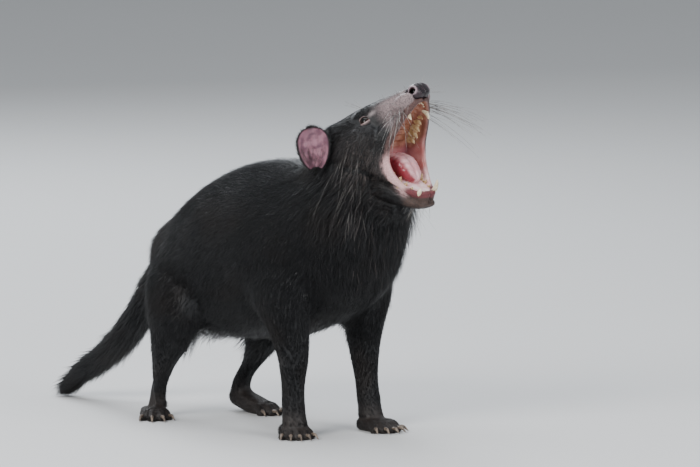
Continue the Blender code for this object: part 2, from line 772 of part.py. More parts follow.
def finish(objects):
    """Puts the parts in their collection with their materials, origin under the middle of the whole."""
    corners = [vert.co for obj in objects for vert in obj.data.vertices]
    low = [min(corner[k] for corner in corners) for k in range(3)]
    high = [max(corner[k] for corner in corners) for k in range(3)]
    shift = Vector((-(low[0] + high[0]) / 2, -(low[1] + high[1]) / 2, -low[2]))
    group = bpy.data.collections.new("tasmanian_devil")
    bpy.context.scene.collection.children.link(group)
    for obj in objects:
        obj.data.transform(Matrix.Translation(shift))
        group.objects.link(obj)
        bpy.context.scene.collection.objects.unlink(obj)
        obj.data.materials.clear()
        obj.data.materials.append(finish_for(obj.name))
        obj.data.shade_smooth()
        obj.data.set_sharp_from_angle(angle=math.radians(50))


def finish_for(name):
    """Each part's own material, from the finish of its kind."""
    kind = next(key for key in FINISHES if name.startswith(key))
    colour, roughness = FINISHES[kind]
    material = bpy.data.materials.new(name)
    material.use_nodes = True
    shader = material.node_tree.nodes["Principled BSDF"]
    shader.inputs["Base Color"].default_value = (*colour, 1)
    shader.inputs["Roughness"].default_value = roughness
    shader.inputs["Metallic"].default_value = 0
    material.diffuse_color = (*colour, 1)
    return material


def main():
    """Builds every form, fuses the body, parts it, and adds what is separate."""
    for obj in list(bpy.data.objects):
        bpy.data.objects.remove(obj)
    forms = [torso_loft(), neck_loft(), tail_loft(), *head_forms(), *[leg_loft(name) for name in LEGS]]
    body = fused("torso", forms, BODY_VOXEL, BODY_SMOOTHING, BODY_TRIANGLES)
    cut(body, [region("below_ankles", (60, 0, ANKLE - BOX_SIZE / 2), (BOX_SIZE,) * 3)])
    parts = [body]
    for name, (centre, size) in LEG_BOXES.items():
        parts.append(parted(body, name, centre, size))
    parts.append(parted(body, "tail", *TAIL_BOX))
    head = parted(body, "head", *box_above(HEAD_CUT, HEAD_CUT_PITCH, 190))
    neck = parted(body, "neck", *box_above(NECK_CUT, NECK_CUT_PITCH, 0))
    jaw = parted(head, "lower_jaw", *jaw_box())
    cut(head, lids(), "UNION")
    eyes = [eye(side) for side in (1, -1)]
    pad = nose()
    cut(head, teeth(UPPER_TEETH, head_point, -1), "UNION")
    clear_of(head, [*eyes, pad])
    cut(jaw, teeth(LOWER_TEETH, jaw_point, 1), "UNION")
    flesh = clear_of(tongue(), [jaw, head, neck])
    ears = [clear_of(ear(side), [head, neck, body]) for side in (1, -1)]
    tail = parts[-1]
    cut(tail, tail_locks(), "UNION")
    cut(tail, [region("floor", (-250, 0, -BOX_SIZE / 2), (BOX_SIZE,) * 3), grown(body, GAP)])
    paws = [paw(name) for name in FEET]
    finish([*parts, head, neck, jaw, *eyes, pad, flesh, *ears, *paws])


main()
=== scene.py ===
# %% [markdown]
# # A Tasmanian devil, dressed for display
#
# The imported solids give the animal's size, pose and outline. This notebook covers them with what an eye
# sees: one continuous skin with its mouth, lids and toes, a glossy black coat, a bushy tail, teeth, tongue,
# eyes, nose, ears, claws and whiskers. The frame is loaded first, so that every later size can be checked
# against it.

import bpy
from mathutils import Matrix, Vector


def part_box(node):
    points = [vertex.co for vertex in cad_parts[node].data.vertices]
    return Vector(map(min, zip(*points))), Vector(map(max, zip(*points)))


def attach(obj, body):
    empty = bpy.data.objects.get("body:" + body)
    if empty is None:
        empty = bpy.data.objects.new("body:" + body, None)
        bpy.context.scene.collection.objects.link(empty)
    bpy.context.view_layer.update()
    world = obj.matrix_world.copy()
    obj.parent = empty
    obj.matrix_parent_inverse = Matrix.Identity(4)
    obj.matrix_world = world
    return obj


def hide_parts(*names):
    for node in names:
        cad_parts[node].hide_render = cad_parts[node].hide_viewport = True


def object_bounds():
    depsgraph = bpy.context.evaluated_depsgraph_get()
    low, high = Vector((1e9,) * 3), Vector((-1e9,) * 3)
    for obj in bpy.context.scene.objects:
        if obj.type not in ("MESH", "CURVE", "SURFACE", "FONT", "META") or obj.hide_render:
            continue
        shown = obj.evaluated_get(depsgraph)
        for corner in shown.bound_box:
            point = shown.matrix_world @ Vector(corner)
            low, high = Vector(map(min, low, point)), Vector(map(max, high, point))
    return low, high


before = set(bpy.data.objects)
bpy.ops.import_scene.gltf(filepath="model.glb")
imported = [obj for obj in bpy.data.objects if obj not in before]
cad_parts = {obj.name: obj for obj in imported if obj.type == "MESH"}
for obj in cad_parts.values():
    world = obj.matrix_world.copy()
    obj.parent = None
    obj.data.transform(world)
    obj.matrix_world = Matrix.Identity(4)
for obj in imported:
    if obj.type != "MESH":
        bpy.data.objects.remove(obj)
cad_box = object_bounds()
print("solids:", ", ".join(sorted(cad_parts)))

# %% [markdown]
# ## Sizes and chance
#
# Blender measures in metres, but an animal of this size is easier to write down in millimetres, so one
# name turns one into the other. Hair is strewn by chance. It could come out differently every time, but a
# fixed seed grows the same coat again.

# %% The tools of the workshop
import math

import bpy
import numpy as np
from mathutils import Vector, kdtree

MM = 0.001
SIDES = (1, "right"), (-1, "left")
SEED = 7
draw = np.random.default_rng(SEED)
print("quick run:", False, "and the seed:", SEED)

# %% [markdown]
# ## Where the head is
#
# The animal stands with its head raised and turned a little. A head in that pose is hard to shape in the
# figure's own directions. It could be modelled level and turned at the end, but then it would not fuse
# with the neck. So its points are written in a frame of its own, as a sculptor turns the stand: u runs
# forward along the palate, v up, and w to the animal's right, all in millimetres from the jaw joint. The
# right eye's solid says where that frame sits in the figure.

# %% The head's own frame
JAW_JOINT = np.array((150.0, 2.0, 320.0))
HEAD_PITCH, HEAD_YAW, GAPE = 40, 5, 66
EYE_CENTRE, EYE_RADIUS = (42.5, 9.5, 28), 6.6


def head_axes():
    """The directions of u, v and w as the rows of a matrix."""
    p, y = math.radians(HEAD_PITCH), math.radians(HEAD_YAW)
    u = (math.cos(p) * math.cos(y), math.cos(p) * math.sin(y), math.sin(p))
    v = (-math.sin(p) * math.cos(y), -math.sin(p) * math.sin(y), math.cos(p))
    return np.array([u, v, (math.sin(y), -math.cos(y), 0)])


HEAD_AXES = head_axes()


def from_head(points):
    return JAW_JOINT + np.asarray(points, float) @ HEAD_AXES


def to_head(points):
    return (np.asarray(points, float) - JAW_JOINT) @ HEAD_AXES.T


def swung(points, degrees):
    """Points of the head turned up about the jaw joint."""
    u, v, w = np.asarray(points, float).T
    c, s = math.cos(math.radians(degrees)), math.sin(math.radians(degrees))
    return np.stack([u * c - v * s, u * s + v * c, w], axis=-1)


def to_jaw(points):
    return swung(to_head(points), GAPE)


def from_jaw(points):
    """The lower jaw hangs open from the same joint: p runs forward along it, q up, w to the right."""
    return from_head(swung(points, -GAPE))


def sided(points, side):
    """Points given for the right half of the head, or for side -1 their mirror images."""
    return np.array(points, float) * (1, 1, side)


def unit(vector):
    return vector / np.linalg.norm(vector)


def units(rows):
    return rows / np.linalg.norm(rows, axis=1, keepdims=True)


JAW_AXES = from_jaw(np.eye(3)) - JAW_JOINT
low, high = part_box("eye_right")
SHIFT = np.array((low + high) / 2) / MM - from_head(EYE_CENTRE)
print("figure's middle lies", SHIFT.round(2), "mm from its drawing origin")

# %% [markdown]
# ## Meshes from rings
#
# A tail or a jaw swells and tapers along its length and has no flat side. It could be sculpted by hand,
# but then no number would say how thick it is. Here it is lofted: a few rings across it are joined along
# its length, and a smooth curve through them gives the points between. A whole tail needs only a handful
# of numbers, and each of them can be changed later.


# %% Rings and lofts
def eased(rows, per_span):
    """Points of the smooth curve through the rows, per_span of them for each span, with both ends."""
    rows = np.array(rows, float)
    padded = np.vstack([2 * rows[0] - rows[1], rows, 2 * rows[-1] - rows[-2]])
    found = []
    for i in range(len(rows) - 1):
        a, b, c, d = padded[i : i + 4]
        for t in np.arange(per_span) / per_span:
            curve = 2 * b + (c - a) * t + (2 * a - 5 * b + 4 * c - d) * t**2 + (3 * b - a - 3 * c + d) * t**3
            found.append(curve / 2)
    return np.array(found + [rows[-1]])


def oval(half_width, half_height, sides, power=2.2):
    """(across, up) pairs round a slightly squared oval."""
    angle = 2 * math.pi * np.arange(sides) / sides
    c, s = np.cos(angle), np.sin(angle)
    across = half_width * np.sign(c) * np.abs(c) ** (2 / power)
    return np.stack([across, half_height * np.sign(s) * np.abs(s) ** (2 / power)], axis=-1)


def band(count, sides, hoop=False):
    """The faces between one ring and the next, and for a hoop between the last and the first."""
    faces = []
    for i in range(count if hoop else count - 1):
        j = (i + 1) % count
        for k in range(sides):
            m = (k + 1) % sides
            faces.append((i * sides + k, i * sides + m, j * sides + m, j * sides + k))
    return faces


def loft(rings):
    """A closed tube through rings of equal count, as (points, faces)."""
    rings = [np.asarray(ring, float) for ring in rings]
    sides, count = len(rings[0]), len(rings)
    faces = band(count, sides)
    faces.append(tuple(range(sides))[::-1])
    faces.append(tuple((count - 1) * sides + k for k in range(sides)))
    return np.vstack(rings), faces


def tube(points, radii, sides=10):
    """A round tube along the points, with its rings square to its path."""
    points = np.asarray(points, float)
    radii = np.broadcast_to(radii, len(points))
    rings, side = [], None
    turns = 2 * math.pi * np.arange(sides) / sides
    for i, point in enumerate(points):
        along = unit(points[min(i + 1, len(points) - 1)] - points[max(i - 1, 0)])
        if side is None:
            side = np.cross(along, (0.3, 0.2, 1) if abs(along[2]) < 0.9 else (1, 0, 0))
        side = unit(side - along * side.dot(along))
        up = np.cross(along, side)
        rings.append(point + radii[i] * (np.outer(np.cos(turns), side) + np.outer(np.sin(turns), up)))
    return loft(rings)


def ball(centre, radii, axes=np.eye(3), segments=28):
    """An ellipsoid with these half sizes along the rows of axes."""
    rings = []
    for k in range(segments // 2 + 1):
        angle = math.pi * k / (segments // 2)
        ring = oval(max(math.sin(angle), 0.02), max(math.sin(angle), 0.02), segments, 2)
        flat = np.column_stack([ring, np.full(segments, -math.cos(angle))])
        rings.append(np.asarray(centre, float) + (flat * radii) @ axes)
    return loft(rings)


shape = ball((0, 0, 0), (1, 1, 1))
print("a plain ball has", len(shape[0]), "points and", len(shape[1]), "faces")


# %% Objects and their points
def shown(name, data):
    """An object in the scene that holds this mesh, light or camera."""
    found = bpy.data.objects.new(name, data)
    bpy.context.scene.collection.objects.link(found)
    return found


def smooth_mesh(name, points, faces):
    """A mesh from points in the figure's millimetres."""
    mesh = bpy.data.meshes.new(name)
    mesh.from_pydata(((points + SHIFT) * MM).tolist(), [], faces)
    mesh.validate()
    mesh.shade_smooth()
    return mesh


def make_object(name, shapes):
    """One object from (points, faces) shapes."""
    points, faces, start = [], [], 0
    for some, sides in shapes:
        points.append(some)
        faces += [tuple(start + k for k in face) for face in sides]
        start += len(some)
    return shown(name, smooth_mesh(name, np.vstack(points), faces))


def read(parts, key, width, kind=float):
    """What a mesh keeps of its points, edges or faces, as rows of numbers."""
    flat = np.empty(len(parts) * width, kind)
    parts.foreach_get(key, flat)
    return flat.reshape(-1, width)


def places_of(obj):
    return read(obj.data.vertices, "co", 3) / MM - SHIFT


def normals_of(obj):
    return read(obj.data.vertices, "normal", 3)


def edges_of(obj):
    return read(obj.data.edges, "vertices", 2, np.int32)


def place(obj, points):
    obj.data.vertices.foreach_set("co", ((points + SHIFT) * MM).ravel())
    obj.data.update()


def node_shape(name, swell=0.0):
    """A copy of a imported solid's surface, swollen a little."""
    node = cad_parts[name]
    return places_of(node) + normals_of(node) * swell, [tuple(face.vertices) for face in node.data.polygons]


def take_mesh(obj, mesh):
    """Gives an object another mesh and drops its old one."""
    old, obj.data = obj.data, mesh
    bpy.data.meshes.remove(old)


def baked(obj):
    """Applies an object's modifiers to its mesh."""
    graph = bpy.context.evaluated_depsgraph_get()
    mesh = bpy.data.meshes.new_from_object(obj.evaluated_get(graph))
    obj.modifiers.clear()
    take_mesh(obj, mesh)
    return obj


print("the torso's solid has", len(places_of(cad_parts["torso"])), "points")


# %% Fuse and smooth
def fuse(obj, voxel):
    """Sets up the remesh that makes one surface of overlapping shapes."""
    change = obj.modifiers.new("fuse", "REMESH")
    change.mode, change.voxel_size, change.use_smooth_shade = "VOXEL", voxel * MM, True


def one_skin(obj, voxel):
    """Fuses an object's closed shapes into one skin, and keeps only its largest surface."""
    fuse(obj, voxel)
    baked(obj)
    points, faces = places_of(obj), read(obj.data.polygons, "vertices", 4, np.int32)
    label = islands(len(points), faces)
    keep = label == np.bincount(label).argmax()
    renumber = np.cumsum(keep) - 1
    faces = renumber[faces[keep[faces[:, 0]]]]
    take_mesh(obj, smooth_mesh(obj.name, points[keep], faces.tolist()))
    return obj


def islands(count, faces):
    """A label for each point, the same over each connected surface."""
    label = np.arange(count)
    while True:
        lowest = label[faces].min(axis=1)
        new = label.copy()
        for k in range(faces.shape[1]):
            np.minimum.at(new, faces[:, k], lowest)
        new = new[new]
        if (new == label).all():
            return label
        label = new


def relaxed(values, edges, times, share=0.5):
    """Each value drawn towards the middle of its neighbours, by a share that may differ between points."""
    values = np.array(values, float)
    columns = values.reshape(len(values), -1)
    share = np.broadcast_to(share, len(values))[:, None]
    count = np.bincount(edges.ravel(), minlength=len(values))[:, None]
    for _ in range(times):
        total = np.empty_like(columns)
        for k in range(columns.shape[1]):
            ahead = np.bincount(edges[:, 0], columns[edges[:, 1], k], len(values))
            total[:, k] = ahead + np.bincount(edges[:, 1], columns[edges[:, 0], k], len(values))
        columns = columns + share * (total / np.maximum(count, 1) - columns)
    return columns.reshape(values.shape)


print("a peak of 1 among zeros, relaxed once:", relaxed([0, 1, 0], np.array([(0, 1), (1, 2)]), 1))


# %% Soft steps, nearness and marks
def ramp(value, low, high):
    """0 below low, 1 above high, and an eased step between them."""
    t = np.clip((value - low) / (high - low), 0, 1)
    return t * t * (3 - 2 * t)


def tree_of(points):
    """A search tree that finds the nearest of these points."""
    tree = kdtree.KDTree(len(points))
    for k, point in enumerate(points):
        tree.insert(point, k)
    tree.balance()
    return tree


def near(points, middle, size):
    """1 at a middle, and less with the distance from it."""
    return np.exp(-(((points - np.asarray(middle)) / size) ** 2).sum(axis=1))


def note(obj, name, values):
    """Keeps a number for each point on the mesh, for its material to read."""
    layer = obj.data.attributes.new(name, "FLOAT", "POINT")
    layer.data.foreach_set("value", np.asarray(values, np.float32))


print("a ramp from 0 to 1, a quarter of the way up:", ramp(0.25, 0, 1))

# %% [markdown]
# ## Camera
#
# The picture was taken from the animal's right front, a little above its back, with a long lens, so that
# near and far feet have almost one size. A near camera with a wide view would draw the near paws too
# large. So this one stands 12 m away, and its view is narrow.

# %% The camera
PHOTO_WIDTH, FILM_WIDTH = 700, 36
MM_TO_A_PIXEL = 1.11
CAMERA_AZIMUTH, CAMERA_HEIGHT, CAMERA_DISTANCE = 45, 7, 12000
CAMERA_TARGET = np.array((65.8, 65.8, 213.6))


def towards_camera():
    """The direction from the animal to the camera."""
    a, e = math.radians(CAMERA_AZIMUTH), math.radians(CAMERA_HEIGHT)
    return np.array((math.sin(a) * math.cos(e), -math.cos(a) * math.cos(e), math.sin(e)))


camera = shown("camera", bpy.data.cameras.new("camera"))
camera.data.sensor_width = FILM_WIDTH
camera.data.lens = FILM_WIDTH * CAMERA_DISTANCE / (PHOTO_WIDTH * MM_TO_A_PIXEL)
camera.data.clip_end = 100
camera.location = (CAMERA_TARGET + SHIFT + towards_camera() * CAMERA_DISTANCE) * MM
camera.rotation_euler = Vector(-towards_camera()).to_track_quat("-Z", "Y").to_euler()
bpy.context.scene.camera = camera
print("lens", round(camera.data.lens), "mm")

# %% [markdown]
# ## Floor and light
#
# A museum shows such a figure on a plain pale floor. One strong lamp would turn the black coat into one
# dark shape. So its gloss is drawn by soft lights: a wide one from above, a key light, and weaker ones
# before and behind the animal.

# %% Floor and lights
FLOOR_SIZE, FLOOR_TONES = 8, (0.62, 0.66)
STUDIO_COLOUR, STUDIO_STRENGTH = (0.82, 0.87, 0.92, 1), 0.48
LIGHTS_POINT_AT = Vector((0, 0, 0.2))
# Each light: place in metres, width, watts, colour.
LIGHTS = {
    "top_light": ((-0.2, 0.1, 2.6), 2.6, 60, (0.93, 0.96, 1.0)),
    "key_light": ((0.6, -2.4, 1.7), 1.2, 62, (1.0, 0.99, 0.97)),
    "front_light": ((2.4, 0.2, 1.2), 1.2, 26, (0.97, 0.98, 1.0)),
    "back_light": ((-2.2, 1.2, 1.6), 1.4, 40, (0.9, 0.95, 1.0)),
}


def floor_material():
    material = bpy.data.materials.new("pale_floor")
    material.use_nodes = True
    nodes, links = material.node_tree.nodes, material.node_tree.links
    shader = nodes["Principled BSDF"]
    grain = nodes.new("ShaderNodeTexNoise")
    grain.inputs["Scale"].default_value = 6
    shade = nodes.new("ShaderNodeMapRange")
    shade.inputs["To Min"].default_value, shade.inputs["To Max"].default_value = FLOOR_TONES
    links.new(grain.outputs["Fac"], shade.inputs["Value"])
    links.new(shade.outputs["Result"], shader.inputs["Base Color"])
    shader.inputs["Roughness"].default_value = 0.85
    return material


def make_floor():
    half = FLOOR_SIZE / 2
    mesh = bpy.data.meshes.new("floor")
    corners = [(-half, -half, 0), (half, -half, 0), (half, half, 0), (-half, half, 0)]
    mesh.from_pydata(corners, [], [(0, 1, 2, 3)])
    mesh.materials.append(floor_material())
    floor = shown("floor", mesh)


def make_light(name, where, size, watts, colour):
    data = bpy.data.lights.new(name, "AREA")
    data.shape, data.size, data.energy, data.color = "DISK", size, watts, colour
    light = shown(name, data)
    light.location = where
    light.rotation_euler = (LIGHTS_POINT_AT - Vector(where)).to_track_quat("-Z", "Y").to_euler()


make_floor()
for name, (where, size, watts, colour) in LIGHTS.items():
    make_light(name, where, size, watts, colour)
world = bpy.data.worlds.new("studio")
world.use_nodes = True
backdrop = world.node_tree.nodes["Background"]
backdrop.inputs["Color"].default_value = STUDIO_COLOUR
backdrop.inputs["Strength"].default_value = STUDIO_STRENGTH
bpy.context.scene.world = world
print("lights:", ", ".join(LIGHTS))

# %% [markdown]
# ## The flesh under the coat
#
# A taxidermist's manikin is the animal without its fur. It could be built from nothing, but the packed
# solids already have the right size and pose, so trunk, neck and legs come from them. Head, tail and feet
# have finer forms than the solids carry, and are lofted again here from rings.

# %% Rings of the head, neck and tail
# Skull and jaw: place along, top, bottom, half width. Throat: distance from the joint, half width.
HEAD_SIDES = 48
SKULL = [
    (-46, 27, -6, 19), (-36, 37, -22, 35), (-18, 41, -34, 42.5), (6, 39.5, -38, 45), (26, 35.5, -32, 40),
    (42, 31, -24, 32), (56, 27, -18, 26), (70, 23, -13, 22), (86, 17.5, -9, 17.5), (97, 12.2, -6, 13),
    (104, 8, -4, 9), (109, 5, -1, 5),
]
JAW = [
    (-8, 12, -22, 30), (12, 10, -36, 42), (34, 8, -38, 42), (56, 4, -33, 35), (76, 0, -27, 27),
    (94, -3, -21, 20), (105, -4, -15, 15), (110, -6, -9, 8),
]
THROAT = [(6, 48), (20, 50), (30, 47), (36, 42)]
LIP = [
    (104, -8, 1), (101, -8, 8), (91, -12.5, 16), (82, -16, 20.5), (72, -21, 25), (62, -26, 28), (52, -32, 30),
    (42, -43, 31), (37, -55, 29), (35, -68, 25), (36, -79, 20), (40, -88, 14), (44, -92, 7), (45, -93, 1),
]
UPPER_GUM = [
    (101, -3, 3), (95, -3, 10), (88, -6, 15), (77, -10, 18), (62, -15, 21.5), (46, -20, 25), (36, -24, 26),
]
LOWER_GUM = [
    (106, -3, 2), (103, -3, 7), (98, -2, 12), (88, -1, 15.5), (73, 0, 19), (56, 2, 22), (42, 6, 23),
]
LIP_RADIUS, UPPER_GUM_RADIUS, LOWER_GUM_RADIUS = 3.5, 3.6, 3.4
CHEEK_SHARE, CHEEK_OUTER, CHEEK_INNER, CHEEK_SPREAD, LIP_WALL = 0.5, 44, 25, 16, 3
NOSE_CENTRE, NOSE_RADII, NOSE_SQUARENESS = (102, 2.2, 0), (11.5, 9.2, 13.2), 3
# Swellings of brow, snout, cheek, ear base, throat and temple: middle, half sizes.
SWELLINGS = [
    ((14, -8, 32), (38, 22, 22)), ((37, 18.5, 20), (21, 8.5, 12)), ((86, -1, 13), (20, 10, 11)),
    ((-8, -34, 34), (26, 26, 18)), ((-24, 2, 36), (14, 13, 12)), ((-8, -62, 10), (17, 26, 22)),
    ((-6, 14, 28), (26, 24, 18)),
]
# Neck: x, y, z, pitch, half depth, half width. Tail: x, z, half depth, half width.
NECK = [
    (45, 0, 198, 8, 96, 80), (88, 0, 214, 22, 90, 78), (122, 0, 238, 42, 78, 72), (139, 1, 268, 60, 64, 64),
    (146, 2, 298, 74, 56, 52), (150, 2, 322, 84, 44, 42),
]
TAIL = [
    (-126, 182, 18, 20), (-148, 170, 20, 21), (-172, 146, 18, 18), (-198, 112, 15, 15), (-224, 84, 13, 13),
    (-252, 61, 11, 11), (-280, 43, 8, 8), (-303, 26, 4, 4),
]
BODY_NODES = ["torso", "neck", "front_leg_right", "front_leg_left", "hind_leg_right", "hind_leg_left"]
PAW_NODES = ["front_paw_right", "front_paw_left", "hind_paw_right", "hind_paw_left"]
print("rings: skull", len(SKULL), "jaw", len(JAW), "lips", len(LIP), "neck", len(NECK), "tail", len(TAIL))


# %% Lofts of the head, neck and tail
def nose_reach(points):
    """1 on the surface of the nose pad, a rounded box, and less inside it."""
    share = np.abs((to_head(points) - NOSE_CENTRE) / NOSE_RADII) ** NOSE_SQUARENESS
    return share.sum(axis=1) ** (1 / NOSE_SQUARENESS)


def head_loft(rows, place_on):
    rings = []
    for along, top, bottom, half_width in eased(rows, 4):
        across, up = oval(half_width, (top - bottom) / 2, HEAD_SIDES, 2.3).T
        middle = (top + bottom) / 2
        rings.append(place_on(np.column_stack([np.full(HEAD_SIDES, along), middle + up, across])))
    return loft(rings)


def throat_loft():
    """The wedge of flesh behind the mouth."""
    angles = np.radians(np.linspace(-8, -72, 9))
    rings = []
    for distance, half_width in eased(THROAT, 2):
        turn = np.concatenate([angles, angles[::-1]])
        width = np.repeat([half_width, -half_width], len(angles))
        rings.append(from_head(np.column_stack([distance * np.cos(turn), distance * np.sin(turn), width])))
    return loft(rings)


def cheek_loft(side):
    """A wall that fans out from the throat to the line of the lips."""
    rings = []
    for u, v, w in eased(LIP, 3):
        back_u, back_v = u * CHEEK_SHARE, v * CHEEK_SHARE
        mid_u, mid_v = u * (1 + CHEEK_SHARE) / 2, v * (1 + CHEEK_SHARE) / 2
        outer, inner = min(CHEEK_OUTER, w + CHEEK_SPREAD), min(CHEEK_INNER, w)
        ring = [(back_u, back_v, inner), (back_u, back_v, outer)]
        ring += [(mid_u, mid_v, (outer + w) / 2 + LIP_WALL), (u, v, w + LIP_WALL)]
        ring += [(u, v, w - LIP_WALL), (mid_u, mid_v, (inner + w) / 2 - LIP_WALL)]
        rings.append(from_head(sided(ring, side)))
    return loft(rings)


def neck_loft():
    rings = []
    for x, y, z, pitch, half_depth, half_width in eased(NECK, 3):
        angle = math.radians(pitch)
        across, up = oval(half_width, half_depth, 40).T
        rings.append(np.column_stack([x - math.sin(angle) * up, y + across, z + math.cos(angle) * up]))
    return loft(rings)


def tail_loft():
    rows, rings = eased(TAIL, 4), []
    for i, (x, z, half_depth, half_width) in enumerate(rows):
        ahead = unit(rows[min(i + 1, len(rows) - 1)][:2] - rows[max(i - 1, 0)][:2])
        across, up = oval(half_width, half_depth, 20, 2).T
        rings.append(np.column_stack([x - ahead[1] * up, across, z + ahead[0] * up]))
    return loft(rings)


def head_forms():
    """Skull, jaw and throat, and on each side the cheek, lips, gums and swellings."""
    forms = [head_loft(SKULL, from_head), head_loft(JAW, from_jaw), throat_loft()]
    for side in (-1, 1):
        forms.append(cheek_loft(side))
        forms.append(tube(from_head(sided(eased(LIP, 5), side)), LIP_RADIUS, 12))
        forms.append(tube(from_head(sided(eased(UPPER_GUM, 4), side)), UPPER_GUM_RADIUS, 12))
        forms.append(tube(from_jaw(sided(eased(LOWER_GUM, 4), side)), LOWER_GUM_RADIUS, 12))
        for centre, radii in SWELLINGS:
            forms.append(ball(from_head(sided(centre, side)), radii, HEAD_AXES))
    return forms


print("points in the neck's loft:", len(neck_loft()[0]))


# %% [markdown]
# ## Feet
#
# The feet are plantigrade: a broad palm with five toes in front, four behind, each with a round pad and a
# long pale claw. A foot could be carved out of a block, but toes that overlap their palm fuse into one
# foot by themselves. So each toe is a bent tube, set out like a fan and sunk into the palm before the
# skin is fused.

# %% Feet
SOLE_SINK = 2.5
# Each: heel, front of the palm, height of the heel, half width, number of toes.
FEET = {
    "front_right": ((86, -46), (107, -59), 17, 17, 5),
    "front_left": ((106, 53), (137, 49), 17, 17, 5),
    "hind_right": ((-142, -43), (-112, -64), 15, 15.5, 4),
    "hind_left": ((-101, 57), (-54, 56), 24, 14, 4),
}
TOE_LENGTH, TOE_RADIUS, TOE_SPREAD = 16, 6.2, 24
CLAW_LENGTH, CLAW_RADIUS = 12.5, 2.3
PALM_FRONT, PALM_BACK = 15, 17
# The round end of a heel: place along the palm, share of its width.
HEEL_CAP = [(-0.24, 0.25), (-0.2, 0.6), (-0.12, 0.86), (-0.05, 0.96)]


def foot_directions(foot):
    """Heel, front of the palm, and the directions ahead and aside."""
    heel, front = (np.array((*where, 0.0)) for where in FEET[foot][:2])
    ahead = unit(front - heel)
    return heel, front, ahead, np.array((-ahead[1], ahead[0], 0))


def palm(foot):
    heel, front, _, aside = foot_directions(foot)
    _, _, heel_height, half_width, _ = FEET[foot]
    rings = []
    for t, share in HEEL_CAP + [(along, 1) for along in np.linspace(0, 1, 9)]:
        s = max(t, 0)
        height = heel_height * (1 - s) + PALM_FRONT * s
        width = half_width * (0.72 + 0.28 * math.sin(math.pi * min(1, 0.25 + 0.6 * s)))
        lift = max(0, heel_height - PALM_BACK) * (1 - s) ** 2
        pairs = oval(width, height / 2 + SOLE_SINK / 2, 24, 2.3) * share
        z = lift + height / 2 - SOLE_SINK / 2 + pairs[:, 1]
        rings.append(heel + (front - heel) * t + np.outer(pairs[:, 0], aside) + np.outer(z, (0, 0, 1)))
    return loft(rings)


def toe_lines(foot):
    """For each toe its line of three points and its heading."""
    _, front, ahead, aside = foot_directions(foot)
    *_, half_width, count = FEET[foot]
    found = []
    for share in np.linspace(-1, 1, count):
        angle = math.radians(TOE_SPREAD) * share
        way = ahead * math.cos(angle) + aside * math.sin(angle)
        root = front + aside * share * (half_width - TOE_RADIUS) - ahead * (4 + 5 * share * share)
        reach = TOE_LENGTH * (1 - 0.25 * share * share)
        heights = (TOE_RADIUS + 3, TOE_RADIUS + 2.4, TOE_RADIUS - SOLE_SINK)
        steps = (-8, reach * 0.45, reach)
        line = [root + way * step + np.array((0, 0, height)) for step, height in zip(steps, heights)]
        found.append((np.array(line), way))
    return found


def foot_forms(foot):
    forms = [palm(foot)]
    slim = TOE_RADIUS * 0.86
    for line, _ in toe_lines(foot):
        forms.append(tube(eased(line, 4), np.linspace(slim, slim * 0.9, 9), 14))
        forms.append(ball(line[-1] + (0, 0, -0.4), (TOE_RADIUS * 0.92,) * 3, segments=16))
    return forms


print("toes:", sum(FEET[foot][-1] for foot in FEET))


# %% [markdown]
# ## One skin
#
# Real skin runs without a seam from the nose to the tail. The overlapping shapes could be joined with
# booleans, which leave a sharp crease at each joint. A voxel remesh gives one even surface instead. It is
# then smoothed, most where the solids' facets are largest, and thinned on the trunk, so that its
# triangles go to the head and feet.

# %% Fuse the skin
FINE_VOXEL, QUICK_VOXEL = 1.4, 2.4
BODY_SWELL, PAW_SWELL = 0.4, -0.6
SMOOTH_ROUNDS, THIN_RATIO, THIN_LEVELS = 110, 0.5, 10
NECK_SLANT, NECK_EDGE, HEAD_REACH = -33, (-8, 16), 150


def near_head(points):
    """1 on the head and jaw, 0 on the body, with a soft edge over the neck."""
    u, v, _ = to_head(points).T
    ahead = u * math.cos(math.radians(NECK_SLANT)) + v * math.sin(math.radians(NECK_SLANT))
    return ramp(ahead, *NECK_EDGE) * (np.hypot(u, v) < HEAD_REACH)


def thinned(obj, keep):
    """Thins a mesh where keep is low, so that the triangles go to the head and feet."""
    group = obj.vertex_groups.new(name="thin")
    top = THIN_LEVELS - 1
    levels = np.round((1 - keep) * top)
    for level in range(1, THIN_LEVELS):
        picked = np.flatnonzero(levels == level)
        if len(picked):
            group.add(picked.tolist(), level / top, "REPLACE")
    change = obj.modifiers.new("thin", "DECIMATE")
    change.ratio, change.vertex_group, change.vertex_group_factor = THIN_RATIO, "thin", 1
    baked(obj)
    obj.vertex_groups.clear()


def fine_forms(points):
    """1 on the head and feet, whose forms are small, and 0 on the rest."""
    return np.maximum(near_head(points), 1 - ramp(points[:, 2], 26, 44))


def slack_of(points):
    """How far smoothing may draw each point: most on the trunk, less on legs and tail, least on the head."""
    slack = (1 - fine_forms(points)) * (0.12 + 0.38 * ramp(points[:, 2], 70, 130))
    slack *= 0.25 + 0.75 * ramp(points[:, 0], -190, -150)
    return np.maximum(slack, 0.4 * ramp(points[:, 2], 17, 26) * (1 - ramp(points[:, 2], 60, 90)))


voxel = FINE_VOXEL
print("voxel:", voxel, "mm")

# %% Build the skin
forms = [node_shape(name, BODY_SWELL) for name in BODY_NODES] + [neck_loft(), tail_loft(), *head_forms()]
for foot in FEET:
    forms += foot_forms(foot)
forms += [node_shape(name, PAW_SWELL) for name in PAW_NODES]
skin = one_skin(make_object("skin", forms), voxel)
print("fused skin:", len(skin.data.vertices), "points")
points = places_of(skin)
rounds = int(SMOOTH_ROUNDS * (FINE_VOXEL / voxel) ** 2)
points = relaxed(points, edges_of(skin), rounds, slack_of(points))
points = relaxed(points, edges_of(skin), 1, 0.4)
place(skin, points)
thinned(skin, fine_forms(points))
print("thinned skin:", len(skin.data.polygons), "faces")

